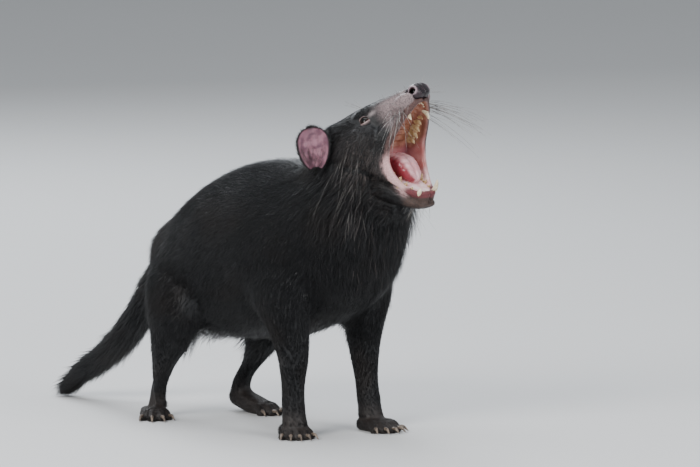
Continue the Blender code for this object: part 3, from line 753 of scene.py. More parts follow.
# %% [markdown]
# ## How the coat lies
#
# Fur flows over the body from the nose to the tail and down the legs. Its flow could be painted on an
# unwrap, which nothing else here needs. So it is combed by a few guides, as a groomer would: at each
# named place, which way the hair runs, how long it is, how far it stands off, and how deep the coat is
# over the skin. Every other place takes a mean of the guides near it. Guides on the body are in the
# figure's frame, and those on the head in the head's.

# %% Coat guides
GUIDE_SOFTNESS, BATCH = 60, 20000
# Each: place, direction, hair length, rise in degrees, depth of coat.
BODY_GUIDES = [
    ((-150, 0, 208), (-0.7, 0, -0.7), 15, 14, 5.0),
    ((-130, 55, 160), (-0.5, 0, -0.85), 14, 14, 4.5),
    ((-90, 60, 230), (-0.8, 0, -0.6), 15, 12, 5.0),
    ((-60, 0, 275), (-0.95, 0, -0.25), 15, 12, 5.0),
    ((15, 0, 297), (-1, 0, -0.1), 15, 12, 5.0),
    ((15, 70, 262), (-0.95, 0, -0.3), 15, 12, 5.0),
    ((75, 0, 300), (-1, 0, 0.05), 15, 13, 5.0),
    ((80, 75, 250), (-0.8, 0, -0.6), 14, 12, 5.0),
    ((0, 84, 200), (-0.85, 0, -0.5), 15, 12, 5.0),
    ((20, 75, 140), (-0.75, 0, -0.6), 16, 14, 5.0),
    ((10, 0, 98), (-0.95, 0, -0.2), 15, 14, 5.0),
    ((80, 30, 120), (-0.7, 0, -0.6), 14, 14, 5.0),
    ((-60, 30, 100), (-0.9, 0, -0.3), 14, 14, 5.0),
    ((95, 82, 200), (-0.3, 0, -0.95), 12, 12, 4.5),
    ((168, 0, 200), (0.15, 0, -1), 15, 14, 5.0),
    ((150, 45, 190), (0, 0, -1), 14, 14, 5.0),
    ((140, 0, 145), (-0.4, 0, -0.9), 14, 14, 5.0),
    ((175, 0, 245), (0.05, 0, -1), 16, 16, 5.5),
    ((150, 62, 250), (-0.45, 0, -0.9), 17, 15, 5.5),
    ((115, 68, 275), (-0.8, 0, -0.6), 17, 15, 5.5),
    ((95, 0, 312), (-0.98, 0, -0.1), 16, 14, 5.5),
    ((88, 70, 150), (-0.1, 0, -1), 9, 11, 3.5),
    ((98, 54, 90), (-0.05, 0, -1), 7.5, 10, 2.6),
    ((100, 54, 50), (0.1, 0, -1), 6, 10, 2.0),
    ((108, 54, 25), (0.5, 0, -0.85), 4.5, 12, 1.2),
    ((-88, 80, 150), (-0.4, 0, -0.9), 13, 13, 4.5),
    ((-78, 68, 105), (-0.4, 0, -0.9), 10, 12, 3.6),
    ((-95, 55, 70), (-0.45, 0, -0.9), 7.5, 10, 2.6),
    ((-108, 52, 40), (0, 0, -1), 5.5, 10, 1.8),
    ((-110, 52, 22), (0.6, 0, -0.8), 4, 12, 1.1),
    ((-75, 57, 14), (0.95, 0, -0.3), 3.5, 12, 0.9),
    ((125, 52, 14), (0.95, 0, -0.3), 3.5, 12, 0.9),
]
HEAD_GUIDES = [
    ((103, 12, 0), (-1, 0.05, 0), 1.8, 10, 0.4),
    ((98, 0, 14), (-1, -0.1, 0.1), 1.8, 12, 0.4),
    ((80, 20, 0), (-1, 0.1, 0), 2.6, 10, 0.7),
    ((80, 2, 20), (-1, -0.15, 0.1), 2.6, 12, 0.7),
    ((66, -12, 25), (-1, -0.3, 0.1), 3.4, 12, 0.9),
    ((62, 24, 0), (-1, 0.1, 0), 4, 10, 1.2),
    ((58, 6, 26), (-0.97, -0.2, 0.1), 4, 11, 1.2),
    ((46, 26, 14), (-1, 0.1, 0.15), 4.5, 12, 1.4),
    ((40, -8, 34), (-0.92, -0.4, 0.1), 6, 12, 1.8),
    ((30, 36, 0), (-1, 0, 0), 6.5, 10, 2.2),
    ((26, 22, 36), (-0.95, 0.05, 0.3), 6, 11, 2.0),
    ((5, 36, 0), (-1, -0.05, 0), 9, 12, 3.0),
    ((8, 10, 50), (-0.95, -0.3, 0.1), 9, 12, 2.6),
    ((22, -22, 46), (-0.88, -0.5, 0.1), 10, 13, 2.6),
    ((38, -45, 38), (-0.75, -0.66, 0.1), 6, 13, 1.4),
    ((10, -38, 50), (-0.75, -0.66, 0), 13, 15, 3.4),
    ((-15, 30, 0), (-1, -0.15, 0), 13, 13, 4.0),
    ((-22, 6, 46), (-0.85, -0.5, 0), 12, 14, 3.4),
    ((-20, -25, 50), (-0.7, -0.7, 0), 17, 16, 4.5),
    ((-10, -60, 46), (-0.66, -0.75, 0), 17, 16, 4.5),
    ((-38, 20, 20), (-0.9, -0.4, 0.1), 15, 14, 4.5),
]
JAW_GUIDES = [
    ((104, -10, 0), (-1, -0.1, 0), 2.6, 14, 0.6),
    ((96, -12, 18), (-1, -0.1, 0.1), 3.5, 14, 0.8),
    ((76, -8, 27), (-0.95, -0.3, 0.1), 5, 14, 1.0),
    ((80, -26, 0), (-0.95, -0.3, 0), 9, 18, 2.0),
    ((56, -14, 36), (-0.85, -0.5, 0), 11, 18, 2.4),
    ((50, -34, 0), (-0.8, -0.6, 0), 15, 20, 3.4),
    ((30, -30, 38), (-0.75, -0.65, 0), 16, 18, 4.0),
    ((15, -40, 0), (-0.6, -0.8, 0), 17, 18, 4.5),
]
print("guides: body", len(BODY_GUIDES), "head", len(HEAD_GUIDES), "jaw", len(JAW_GUIDES))


# %% Comb between the guides
def all_guides():
    """Every guide in the figure's frame: places, unit directions, and the three sizes."""
    rows = []
    for side in (-1, 1):
        mirror = np.array((1, side, 1))
        for where, way, *sizes in BODY_GUIDES:
            rows.append((where * mirror, way * mirror, sizes))
        for table, place_on, axes in ((HEAD_GUIDES, from_head, HEAD_AXES), (JAW_GUIDES, from_jaw, JAW_AXES)):
            for where, way, *sizes in table:
                rows.append((place_on(sided(where, side)), sided(way, side) @ axes, sizes))
    places, ways, sizes = (np.array(part, float) for part in zip(*rows))
    return places, np.hstack([units(ways), sizes])


GUIDE_PLACES, GUIDE_LIES = all_guides()


def combed(points):
    """The lie of the coat at each point: direction, hair length, rise and depth."""
    found = np.empty((len(points), 6))
    for start in range(0, len(points), BATCH):
        some = points[start : start + BATCH]
        apart = ((some[:, None, :] - GUIDE_PLACES[None]) ** 2).sum(axis=2)
        weight = 1 / (apart + GUIDE_SOFTNESS) ** 2
        weight /= weight.sum(axis=1, keepdims=True)
        found[start : start + BATCH] = weight @ GUIDE_LIES
    return found


print("coat guides on both sides:", len(GUIDE_PLACES))


# %% [markdown]
# ## Masks on the head
#
# The same skin turns from coat to bare muzzle, to wet lip, to the lining of the mouth. Each part could be
# a mesh of its own, but then it would end in a hard edge. So each is a number from 0 to 1 at every point
# of the skin, worked out from the line of the lips. The coat keeps off them, and the material reads them
# for its colours.


# %% Masks
MOUTH_MIDDLE, MOUTH_ANGLES, MOUTH_REACH, FAR = (48, -34, 0), (-67.5, -1.5), (20, 110), 99.0


def in_mouth(spots):
    """Whether each place of the head's frame lies in the open fan of the mouth, inside the lips."""
    u, v, w = spots.T
    angle, reach = np.degrees(np.arctan2(v, u)), np.hypot(u, v)
    lip = eased(LIP, 6)
    lip_angle = np.degrees(np.arctan2(lip[:, 1], lip[:, 0]))
    order = np.argsort(lip_angle)
    lip_width = np.interp(angle, lip_angle[order], lip[order, 2])
    within = (angle > MOUTH_ANGLES[0]) & (angle < MOUTH_ANGLES[1])
    within &= (reach > MOUTH_REACH[0]) & (reach < MOUTH_REACH[1])
    return within & (np.abs(w) < np.maximum(lip_width, 14) + 3)


def lining_of(spots, normals):
    """1 where the skin faces the middle of the open mouth from inside."""
    inward = ((normals @ HEAD_AXES.T) * units(np.array(MOUTH_MIDDLE) - spots)).sum(axis=1)
    return relaxed(ramp(inward, -0.05, 0.25) * in_mouth(spots), edges_of(skin), 2)


def lip_gap_of(points):
    """How far each point of the head is from the line of the lips."""
    tree = tree_of(np.vstack([from_head(sided(eased(LIP, 8), side)) for side in (-1, 1)]))
    gap = np.full(len(points), FAR)
    for k in np.flatnonzero(near_head(points) > 0):
        gap[k] = tree.find(points[k])[2]
    return gap


points, normals = places_of(skin), normals_of(skin)
spots = to_head(points)
u, v, w = spots.T
along_jaw = to_jaw(points)[:, 0]
lining, lip_gap = lining_of(spots, normals), lip_gap_of(points)
print("lined by the mouth:", int((lining > 0.5).sum()), "points")

# %% [markdown]
# ## Room for the coat
#
# The solids show the outside of the fur, and real skin lies well under it. Hair could be left to stand
# out past the solids, but the animal would then look too stout. So the skin is drawn in by a part of the
# coat's depth before any hair grows. The same cell raises the palate between the gums, and gives it the
# cross ridges that show in the open mouth.

# %% Draw the skin in under the coat, and shape the palate
COAT_SETTLED, TAIL_COAT, NOSE_GAP = 0.62, 3.5, 3.0
RIDGE_SPACING, RIDGE_BOW, PALATE_LIFT, RIDGE_HEIGHT = 6.8, 0.012, 2.2, 0.75
# Half the room between the gums, from the back of the palate to its front.
PALATE_ALONG, PALATE_ACROSS = [36, 46, 62, 77, 88, 101], [23, 21.5, 18, 14.5, 11, 3]


def down_the_tail(points):
    """0 on the rump, 1 from where the tail leaves it."""
    along = -0.7 * (points[:, 0] + 148) - 0.7 * (points[:, 2] - 170)
    return ramp(along, 6, 26) * (points[:, 0] < -120)


is_tail = down_the_tail(points)
depth = COAT_SETTLED * combed(points)[:, 5] * (1 - is_tail) + TAIL_COAT * is_tail
bare_lip = (1 - ramp(lip_gap, 3.5, 9)) * near_head(points)
depth = relaxed(depth * (1 - np.maximum(lining, bare_lip)), edges_of(skin), 6)
depth *= ramp(points[:, 2], -1, 6)
depth += NOSE_GAP * (1 - ramp(nose_reach(points), 0.9, 1.08))
points = points - normals * depth[:, None]
palate = lining * ramp(v, -34, -26) * ramp(u, 30, 42)
between_gums = 1 - ramp(np.abs(w) / np.interp(u, PALATE_ALONG, PALATE_ACROSS), 0.6, 1.0)
ridges = np.sin(2 * math.pi * (u + RIDGE_BOW * w * w) / RIDGE_SPACING)
lift = palate * between_gums * (PALATE_LIFT + RIDGE_HEIGHT * ridges)
points = points + lift[:, None] * HEAD_AXES[1]
points[:, 2] = np.maximum(points[:, 2], 0)
place(skin, points)
print("coat depth up to", depth.max().round(1), "mm")

# %% [markdown]
# ## Where each colour belongs
#
# Muzzle, lips, chin, throat and feet each have a colour of their own, and on the real animal they shade
# into one another. They could be painted on an image by hand. A soft mask from a formula needs no image,
# and it follows the lips when these are moved.

# %% Masks for the material
# Painted shade: a near-black red patch round this middle, in the deep recess between tongue and cheek.
POCKET_SHADE_MIDDLE, POCKET_SHADE_SIZE = (41, -57, 22), 8
TEAR_SPOT, TEAR_SIZE = (54, 12.2, 26), (5.5, 2.4, 8)
both_sides = np.column_stack([u, v, np.abs(w)])
topmost = np.interp(u, [42, 56, 70, 86, 97, 104], [31, 27, 23, 17.5, 12.2, 8])
dark_top = 0.85 * ramp(v / topmost, 0.5, 0.9) * (1 - 0.6 * ramp(u, 84, 100))
muzzle = ramp(u - 9 * ramp(-v, 0, 22), 52, 72) * ramp(v, -34, -26) * (1 - dark_top) * near_head(points)
eyes = [from_head(sided(EYE_CENTRE, side)) for side in (-1, 1)]
eye_gap = np.min([np.linalg.norm(points - eye, axis=1) for eye in eyes], axis=0)
lower_band = (1 - ramp(lip_gap, 4, 14)) * ramp(-v, 30, 52) * (1 - lining)
bare = np.clip(muzzle + lower_band, 0, 1)
pale_lip = (1 - ramp(lip_gap, 5, 10)) * ramp(-v, 33, 46) * (1 - ramp(along_jaw, 84, 93))
# The floor of the mouth before the tongue is pale pink, painted paler still as a painted highlight of its wet
# gloss.
mouth_floor = lining * ramp(along_jaw, 60, 76) * (1 - ramp(v, -60, -50))
upper_lip = (1 - ramp(lip_gap, 3.6, 5.4)) * (1 - ramp(-v, 26, 42)) * near_head(points) * (1 - 0.85 * lining)
front_lip = (1 - ramp(lip_gap, 3.4, 5.2)) * ramp(along_jaw, 84, 92)
chin = ramp(along_jaw, 84, 93) * (1 - ramp(lip_gap, 12, 24)) * (1 - lining)
beside_eye = near(both_sides, TEAR_SPOT, TEAR_SIZE)
masks = {
    "lining": lining,
    "palate": relaxed(palate, edges_of(skin), 2),
    "lip": (1 - ramp(lip_gap, 3.2, 5.5)) * near_head(points),
    "muzzle": bare,
    "pale_lip": relaxed(pale_lip, edges_of(skin), 3),
    "mouth_floor": mouth_floor,
    "upper_lip": upper_lip,
    "front_lip": front_lip,
    # Painted shade in the deep recess between tongue and cheek.
    "pocket": lining * near(spots, POCKET_SHADE_MIDDLE, POCKET_SHADE_SIZE),
    "tear": beside_eye,
    "chin": chin,
    "throat": 1 - ramp(np.hypot(u, v), 34, 58),
    "foot": 1 - ramp(points[:, 2], 16, 40),
}
for name, values in masks.items():
    note(skin, name, values)
coat_lengths = combed(points)[:, 3]
print("masks on the skin:", ", ".join(masks))


# %% [markdown]
# ## Materials
#
# Skin and hair have no pattern that repeats, only patches and flecks. They could be painted on images,
# which need an unwrap. Here all colours are mixed by nodes from noise and from the masks. Numbers that
# are the same all over a surface are set on the shader itself.

# %% Helpers for materials
# The mix node has several sockets of each name. These are the places of its colour sockets.
COLOUR_A, COLOUR_B, COLOUR_RESULT = 6, 7, 2


class Paint:
    """A material under construction, with short names for the nodes it needs."""

    def __init__(self, name, roughness=0.5, specular=0.5, **sockets):
        self.material = bpy.data.materials.new(name)
        self.material.use_nodes = True
        self.nodes, self.links = self.material.node_tree.nodes, self.material.node_tree.links
        self.shader = self.nodes["Principled BSDF"]
        self.shader.inputs["Roughness"].default_value = roughness
        self.shader.inputs["Specular IOR Level"].default_value = specular
        for socket, value in sockets.items():
            self.shader.inputs[socket.replace("_", " ").title()].default_value = value
        self.place = self.nodes.new("ShaderNodeTexCoord").outputs["Object"]

    def noise(self, scale, detail=3, stretch=None):
        node = self.nodes.new("ShaderNodeTexNoise")
        node.inputs["Scale"].default_value, node.inputs["Detail"].default_value = scale, detail
        place = self.place
        if stretch:
            turn = self.nodes.new("ShaderNodeMapping")
            turn.inputs["Scale"].default_value = stretch
            self.links.new(place, turn.inputs["Vector"])
            place = turn.outputs["Vector"]
        self.links.new(place, node.inputs["Vector"])
        return node.outputs["Fac"]

    def mask(self, name):
        node = self.nodes.new("ShaderNodeAttribute")
        node.attribute_name = name
        return node.outputs["Fac"]

    def spread(self, value, low, high, to_low=0.0, to_high=1.0):
        node = self.nodes.new("ShaderNodeMapRange")
        node.interpolation_type = "SMOOTHSTEP"
        for key, number in (("From Min", low), ("From Max", high), ("To Min", to_low), ("To Max", to_high)):
            node.inputs[key].default_value = number
        self.links.new(value, node.inputs["Value"])
        return node.outputs["Result"]

    def mix(self, share, first, second, kind="MIX"):
        node = self.nodes.new("ShaderNodeMix")
        node.data_type, node.blend_type = "RGBA", kind
        self.set(node.inputs["Factor"], share)
        self.set(node.inputs[COLOUR_A], first)
        self.set(node.inputs[COLOUR_B], second)
        return node.outputs[COLOUR_RESULT]

    def mottle(self, scale, low, high, first, second, detail=3):
        """Two colours in soft patches of noise."""
        return self.mix(self.spread(self.noise(scale, detail), low, high), first, second)

    def layered(self, base, **layers):
        """Each colour laid over the last one as far as the mask of its name says."""
        for name, colour in layers.items():
            base = self.mix(self.mask(name), base, colour)
        return base

    def set(self, socket, value):
        if isinstance(value, bpy.types.NodeSocket):
            self.links.new(value, socket)
        elif isinstance(value, tuple):
            socket.default_value = (*value, 1)
        else:
            socket.default_value = value

    def colour(self, value):
        self.set(self.shader.inputs["Base Color"], value)

    def roughness(self, value):
        self.set(self.shader.inputs["Roughness"], value)

    def bump(self, height, distance, strength=1.0):
        node = self.nodes.new("ShaderNodeBump")
        node.inputs["Distance"].default_value, node.inputs["Strength"].default_value = distance * MM, strength
        self.links.new(height, node.inputs["Height"])
        if self.shader.inputs["Normal"].is_linked:
            self.links.new(self.shader.inputs["Normal"].links[0].from_socket, node.inputs["Normal"])
        self.links.new(node.outputs["Normal"], self.shader.inputs["Normal"])


print("colour sockets of a mix node:", COLOUR_A, COLOUR_B, "and", COLOUR_RESULT)

# %% Colours of the coat and the mouth
# The lighter hair tone is partly random grey in the hair, and partly painted sheen on the short coat.
BLACK, SOOT_AND_SHEEN, BROWN = (0.0045, 0.0048, 0.006), (0.013, 0.0132, 0.016), (0.012, 0.009, 0.0082)
# How far red, green and blue light goes under thin skin, in metres.
GLOW_DEPTHS = (0.004, 0.0015, 0.001)


def coat_colour(paint):
    """Near black, with patches that are washed brown. Skin and hair share it."""
    return paint.mottle(14, 0.45, 0.72, BLACK, BROWN, detail=2)


def mouth_colour(paint):
    """The mouth's lining: pink cheeks, a darker throat, the ridged roof, a pale floor whose whiteness is
    partly a painted highlight of its wet gloss, and painted shade in the deep recess between tongue and
    cheek.
    """
    return paint.layered(
        paint.mottle(60, 0.35, 0.7, (0.47, 0.14, 0.125), (0.60, 0.29, 0.27)),
        throat=paint.mix(paint.noise(70), (0.20, 0.05, 0.07), (0.42, 0.17, 0.20)),
        palate=paint.mottle(110, 0.35, 0.65, (0.20, 0.068, 0.042), (0.31, 0.135, 0.085)),
        # Pale pink floor, partly a painted highlight of its wet gloss.
        mouth_floor=paint.mottle(130, 0.3, 0.7, (0.90, 0.72, 0.73), (0.76, 0.42, 0.44)),
        # Painted shade: near-black red in the deep recess between tongue and cheek.
        pocket=(0.10, 0.012, 0.015),
    )


print("the coat's black:", BLACK, "and brown:", BROWN)


# %% The skin's material
def skin_material():
    paint = Paint("skin", 0.55, 0.4)
    fleck = paint.spread(paint.noise(650, 4), 0.3, 0.75)
    dark_lip = paint.mix(fleck, (0.11, 0.055, 0.048), (0.05, 0.026, 0.025))
    paint.colour(paint.layered(
        coat_colour(paint),
        muzzle=paint.mix(fleck, (0.30, 0.225, 0.225), (0.105, 0.078, 0.082)),
        tear=(0.24, 0.20, 0.20),
        chin=paint.mix(fleck, (0.075, 0.042, 0.032), (0.035, 0.021, 0.017)),
        foot=paint.mix(fleck, (0.028, 0.021, 0.018), (0.011, 0.009, 0.009)),
        lip=dark_lip,
        pale_lip=paint.mix(fleck, (0.70, 0.46, 0.45), (0.50, 0.26, 0.26)),
        lining=mouth_colour(paint),
        upper_lip=dark_lip,
        front_lip=paint.mix(fleck, (0.17, 0.035, 0.04), (0.08, 0.02, 0.024)),
    ))
    paint.roughness(paint.spread(paint.mask("lining"), 0.2, 0.9, 0.55, 0.22))
    paint.bump(paint.noise(900, 4), 0.25, 0.5)
    paint.bump(paint.noise(300), 0.4, 0.4)
    return paint.material


skin.data.materials.append(skin_material())
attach(skin, "root")
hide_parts(*BODY_NODES, "tail", "head", "lower_jaw", *PAW_NODES)
print("the skin has", len(skin.data.materials[0].node_tree.nodes), "nodes in its material")

# %% [markdown]
# ## Teeth
#
# The gape shows small incisors, a long curved canine in each corner, and a row of pointed cheek teeth.
# They could be modelled one by one, but most of them differ only in place and size. So one table holds
# their numbers, and each tooth is a bent cone. A cheek tooth has two or three cusps, fused by a fine
# remesh. The right canines are worn shorter.

# %% Teeth
# Each: place along its jaw, gum, tip, place across, radius, kind. Kind 0 is a canine and 1 an incisor. The
# kind of a cheek tooth is its number of cusps.
UPPER_TEETH = [
    (98.5, -5, -10, 1.7, 1.2, 1), (97.5, -5, -10, 4.6, 1.2, 1), (96, -5.5, -10.5, 7.2, 1.3, 1),
    (93.5, -6, -11.5, 9.8, 1.5, 1), (87, -8, -24.5, 14.2, 3.2, 0),
    (77, -11, -18, 17, 3.0, 2), (70, -13, -21, 18.5, 3.4, 2), (62, -15, -24.5, 20.5, 4.0, 3),
    (54, -17, -27.5, 22, 4.4, 3), (45.5, -20, -29, 23.5, 4.2, 3),
]
LOWER_TEETH = [
    (104.5, 0, 5, 1.9, 1.3, 1), (103.5, 0, 5.5, 5, 1.3, 1), (101.5, 0, 6, 8, 1.5, 1),
    (98.5, 1, 17.5, 12, 3.0, 0), (89, 0, 6, 15, 2.6, 2), (81, 0, 7.5, 17, 3.0, 2),
    (72, 1, 9.5, 18.5, 3.6, 3), (63, 2, 10, 20, 3.8, 3),
]
# What is left of a worn canine, above (-1) and below (1).
WORN_CANINE = {-1: 0.85, 1: 0.5}
# The cusps of each kind of cheek tooth: place along it in radii, share of its height.
CUSPS = {2: [(-0.5, 0.6), (0.35, 1.0)], 3: [(-0.75, 0.55), (0.25, 1.0), (1.1, 0.5)]}
TOOTH_VOXEL = 0.42
print("teeth above:", 2 * len(UPPER_TEETH), "below:", 2 * len(LOWER_TEETH))


# %% Shapes of the teeth
def tapered(line, *stops):
    """A line and its radii, which pass through the stops: share of the way along it, radius."""
    shares, radii = zip(*stops)
    return line, np.interp(np.linspace(0, 1, len(line)), shares, radii)


def tooth_forms(along, gum, tip, w, radius, kind, up):
    """The lines and radii of one tooth, in its jaw's frame."""
    root = np.array((along - 1.5, gum - up * 5, w))
    point = np.array((along, tip, w))
    if kind == 0:
        middle = root + (point - root) * 0.55 + (1.5, 0, 0.9)
        line = eased([root, middle, point], 5)
        return [tapered(line, (0, radius), (0.5, radius * 0.92), (0.85, radius * 0.5), (1, 0.35))]
    if kind == 1:
        return [tapered(eased([root, point], 6), (0, radius), (0.6, radius), (1, radius * 0.55))]
    found = []
    for step, share in CUSPS[kind]:
        foot = root + (step * radius, 0, 0)
        top = np.array((along + step * radius, gum + up * abs(tip - gum) * share, w - 0.4))
        line = eased([foot, top], 5)
        found.append(tapered(line, (0, radius * 0.8), (0.55, radius * 0.78), (0.85, radius * 0.45), (1, 0.3)))
    return found


def teeth(rows, place_on, up):
    forms = []
    for side in (-1, 1):
        for along, gum, tip, w, radius, kind in rows:
            if side > 0 and kind == 0:
                tip = gum + (tip - gum) * WORN_CANINE[up]
            for line, radii in tooth_forms(along, gum, tip, w, radius, kind, up):
                forms.append(tube(place_on(sided(line, side)), radii, 12))
    return forms


print("cones in the upper rows:", len(teeth(UPPER_TEETH, from_head, -1)))


# %% Set the teeth
def fused_each(name, forms, voxel):
    """Fuses overlapping shapes, and keeps all the separate ones."""
    obj = make_object(name, forms)
    fuse(obj, voxel)
    relax = obj.modifiers.new("relax", "SMOOTH")
    relax.factor, relax.iterations = 0.5, 2
    return baked(obj)


def tooth_material():
    """Ivory with stains. The mask, which is 1 on the cheek teeth, makes them browner."""
    paint = Paint("tooth", 0.28, 0.5, coat_weight=0.4)
    stain = paint.spread(paint.noise(260), 0.35, 0.7)
    ivory = paint.mix(stain, (0.80, 0.71, 0.52), (0.60, 0.46, 0.26))
    yellowed = paint.mix(stain, (0.58, 0.42, 0.21), (0.34, 0.19, 0.08))
    paint.colour(paint.mix(paint.mask("stain"), ivory, yellowed))
    paint.bump(paint.noise(700), 0.15, 0.4)
    return paint.material


enamel = tooth_material()
for name, rows, place_on, up, node, canine in (
    ("upper_teeth", UPPER_TEETH, from_head, -1, "head", 87),
    ("lower_teeth", LOWER_TEETH, from_jaw, 1, "lower_jaw", 98),
):
    row = fused_each(name, teeth(rows, place_on, up), TOOTH_VOXEL)
    row.data.materials.append(enamel)
    along = (to_head if up < 0 else to_jaw)(places_of(row))[:, 0]
    note(row, "stain", 1 - ramp(along, canine - 7, canine - 2))
    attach(row, "root")
    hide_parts(node)
    print(name, len(row.data.polygons), "faces")

# %% [markdown]
# ## Tongue
#
# A broad wet tongue fills the floor of the mouth. A flattened ball would be too plain for it, because the
# gape lays it open to view. So it is lofted in the jaw's frame, where it rests on the jaw at any gape, with a
# groove down its middle and low folds. Its sides are dark red: partly the redder edge of a tongue, partly
# painted shade, strongest on the right side where the tongue turns down into the mouth.

# %% Tongue
# Each: place along, top, bottom, half width.
TONGUE = [
    (28, 13, 0, 12), (38, 18, 0, 14.5), (48, 22, 0, 15.5), (57, 23.5, 0, 15.5), (65, 21.5, 0, 14.5),
    (72, 17.5, 1, 12.5), (77, 13, 2, 9.5), (80, 9, 4, 5),
]
TONGUE_ASIDE, TONGUE_SIDES = -2.0, 64


def tongue_loft():
    """The tongue's shape, and how near each point is to its sides."""
    rings, edge = [], []
    for p, top, bottom, half_width in eased(TONGUE, 9):
        across, up = oval(half_width, (top - bottom) / 2, TONGUE_SIDES, 2.3).T
        share = across / half_width
        groove = 2.2 * np.exp(-((share / 0.17) ** 2)) * ramp(up, 0, 3)
        folds = 0.55 * np.sin(1.15 * p + 3 * share) * share**2 + 0.3 * np.sin(0.8 * p + 9 * share)
        height = (top + bottom) / 2 + up - groove + folds
        rings.append(from_jaw(np.column_stack([np.full(TONGUE_SIDES, p), height, across + TONGUE_ASIDE])))
        # How dark red each point's side is painted: full on the right side, 0.3 on the left. This is partly a
        # redder edge and partly painted shade.
        edge.append(ramp(share, 0.55, 0.95) + 0.3 * ramp(-share, 0.7, 1.0))
    return loft(rings), np.concatenate(edge)


def flesh_material():
    paint = Paint("tongue", 0.36, 0.45, coat_weight=0.2, subsurface_weight=0.15)
    paint.shader.inputs["Subsurface Radius"].default_value = GLOW_DEPTHS
    flesh = paint.mottle(55, 0.35, 0.7, (0.80, 0.48, 0.50), (0.68, 0.32, 0.35))
    # The sides are laid over in dark red: partly the tongue's redder edge, partly painted shade.
    paint.colour(paint.mix(paint.mask("edge"), flesh, (0.27, 0.03, 0.045)))
    paint.bump(paint.noise(900, 2), 0.3, 0.6)
    return paint.material


tongue_shape, tongue_side_shade = tongue_loft()
tongue = make_object("tongue_flesh", [tongue_shape])
note(tongue, "edge", tongue_side_shade)
tongue.data.materials.append(flesh_material())
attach(tongue, "root")
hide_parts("tongue")
print("tongue:", len(tongue.data.polygons), "faces")

# %% [markdown]
# ## Eyes and lids
#
# The eyes are small, round and nearly black, set deep under the brow. Iris and pupil could be discs in
# front of the ball, but discs stand off when seen from the side. So each ball carries them in its
# material, by the distance from the middle of the pupil. A thin rim of lid closes over it in an almond.

# %% Eyes
EYE_FACING, EYE_SET_BACK = (0.45, 0.35, 0.82), 1.8
PUPIL_EDGE, IRIS_EDGE = (2.4 * MM, 2.8 * MM), (4.9 * MM, 5.6 * MM)


def eye_axes(side):
    """Rows: along the lid, up, and out of the eye, in the figure's frame."""
    out = unit(sided(EYE_FACING, side))
    along = unit(np.array((1, 0.12, 0)) - out * out.dot((1, 0.12, 0)))
    up = np.cross(out, along) * side
    return np.array([along, up if up[1] > 0 else -up, out]) @ HEAD_AXES


def eye_middle(side):
    return from_head(sided(EYE_CENTRE, side)) - eye_axes(side)[2] * EYE_SET_BACK


def eye_material(side, word):
    paint = Paint("eye_" + word, 0.05, 0.25)
    out = eye_axes(side)[2]
    pupil = (eye_middle(side) + out * EYE_RADIUS + SHIFT) * MM
    apart = paint.nodes.new("ShaderNodeVectorMath")
    apart.operation = "DISTANCE"
    paint.links.new(paint.place, apart.inputs[0])
    apart.inputs[1].default_value = pupil
    away = apart.outputs["Value"]
    iris = paint.mix(paint.noise(1600), (0.016, 0.007, 0.004), (0.006, 0.003, 0.002))
    dark = paint.mix(paint.spread(away, *PUPIL_EDGE), (0.002, 0.002, 0.002), iris)
    paint.colour(paint.mix(paint.spread(away, *IRIS_EDGE), dark, (0.10, 0.045, 0.035)))
    return paint.material


print("an eyeball is", 2 * EYE_RADIUS, "mm across")

# %% Lids
# Half length of the opening, its height over the middle, its depth below.
LID_OPENING, LID_RINGS = (6.8, 4.0, 3.7), 48
# Across the lid: share of the way out from the rim, lift, paleness.
LID_SECTION = [
    (0, 0.1, 1), (0.1, 0.4, 1), (0.3, 0.5, 0.5), (0.6, 0.4, 0.1), (1, 0.0, 0), (0.9, -1.2, 0), (0.4, -0.7, 0),
    (0.05, -0.3, 1),
]


def lid_loft(side):
    """A band from inside the opening, over its rim and out under the coat, and how pale each point is."""
    centre, axes = eye_middle(side), eye_axes(side)
    rings, pale = [], []
    half_length, above, below = LID_OPENING
    for k in range(LID_RINGS):
        angle = 2 * math.pi * k / LID_RINGS
        c, s = math.cos(angle), math.sin(angle)
        x, y = half_length * c, (above if s > 0 else below) * abs(s) ** 1.25 * math.copysign(1, s)
        rim = np.array((x, y, math.sqrt((EYE_RADIUS + 0.35) ** 2 - x * x - y * y)))
        away = np.array((x * 1.5, y * 2.2, rim[2] - 2.6)) - rim
        for t, lift, paleness in LID_SECTION:
            rings.append(centre + (rim + away * t + np.array((0, 0, lift))) @ axes)
            pale.append(paleness * (1 - 0.25 * ramp(s, 0.1, 0.7)))
    return (np.array(rings), band(LID_RINGS, len(LID_SECTION), hoop=True)), pale


def lid_material():
    paint = Paint("lid", 0.4, 0.45)
    rim = paint.mottle(500, 0.4, 0.65, (0.42, 0.30, 0.29), (0.25, 0.17, 0.165))
    paint.colour(paint.layered(BLACK, rim=rim))
    paint.bump(paint.noise(900), 0.2, 0.5)
    return paint.material


lid_skin = lid_material()
for side, word in SIDES:
    eyeball = make_object("eyeball_" + word, [ball(eye_middle(side), (EYE_RADIUS,) * 3, segments=48)])
    eyeball.data.materials.append(eye_material(side, word))
    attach(eyeball, "root")
    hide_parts("eye_" + word)
    lid_shape, lid_pale = lid_loft(side)
    lid = make_object("lid_" + word, [lid_shape])
    note(lid, "rim", lid_pale)
    lid.modifiers.new("soften", "SUBSURF").levels = 1
    baked(lid)
    lid.data.shade_smooth()
    lid.data.materials.append(lid_skin)
    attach(lid, "root")
    print(word, "eye at", (eye_middle(side) + SHIFT).round(1), "mm")

# %% [markdown]
# ## Nose
#
# The bare pad is a rounded knob, wet and finely pebbled, with a comma of a nostril on each side. The
# nostrils could be cut out with a boolean, which leaves a hard rim. So the knob is a fine ball whose
# points are pushed in along the nostril and its slit, and the rim stays soft.

# %% Nose
NOSTRIL_LINE = [(107.5, 3.1, 12.6), (105.5, 2.4, 13.2), (101, 0.2, 13.6), (96.5, -1.3, 13)]
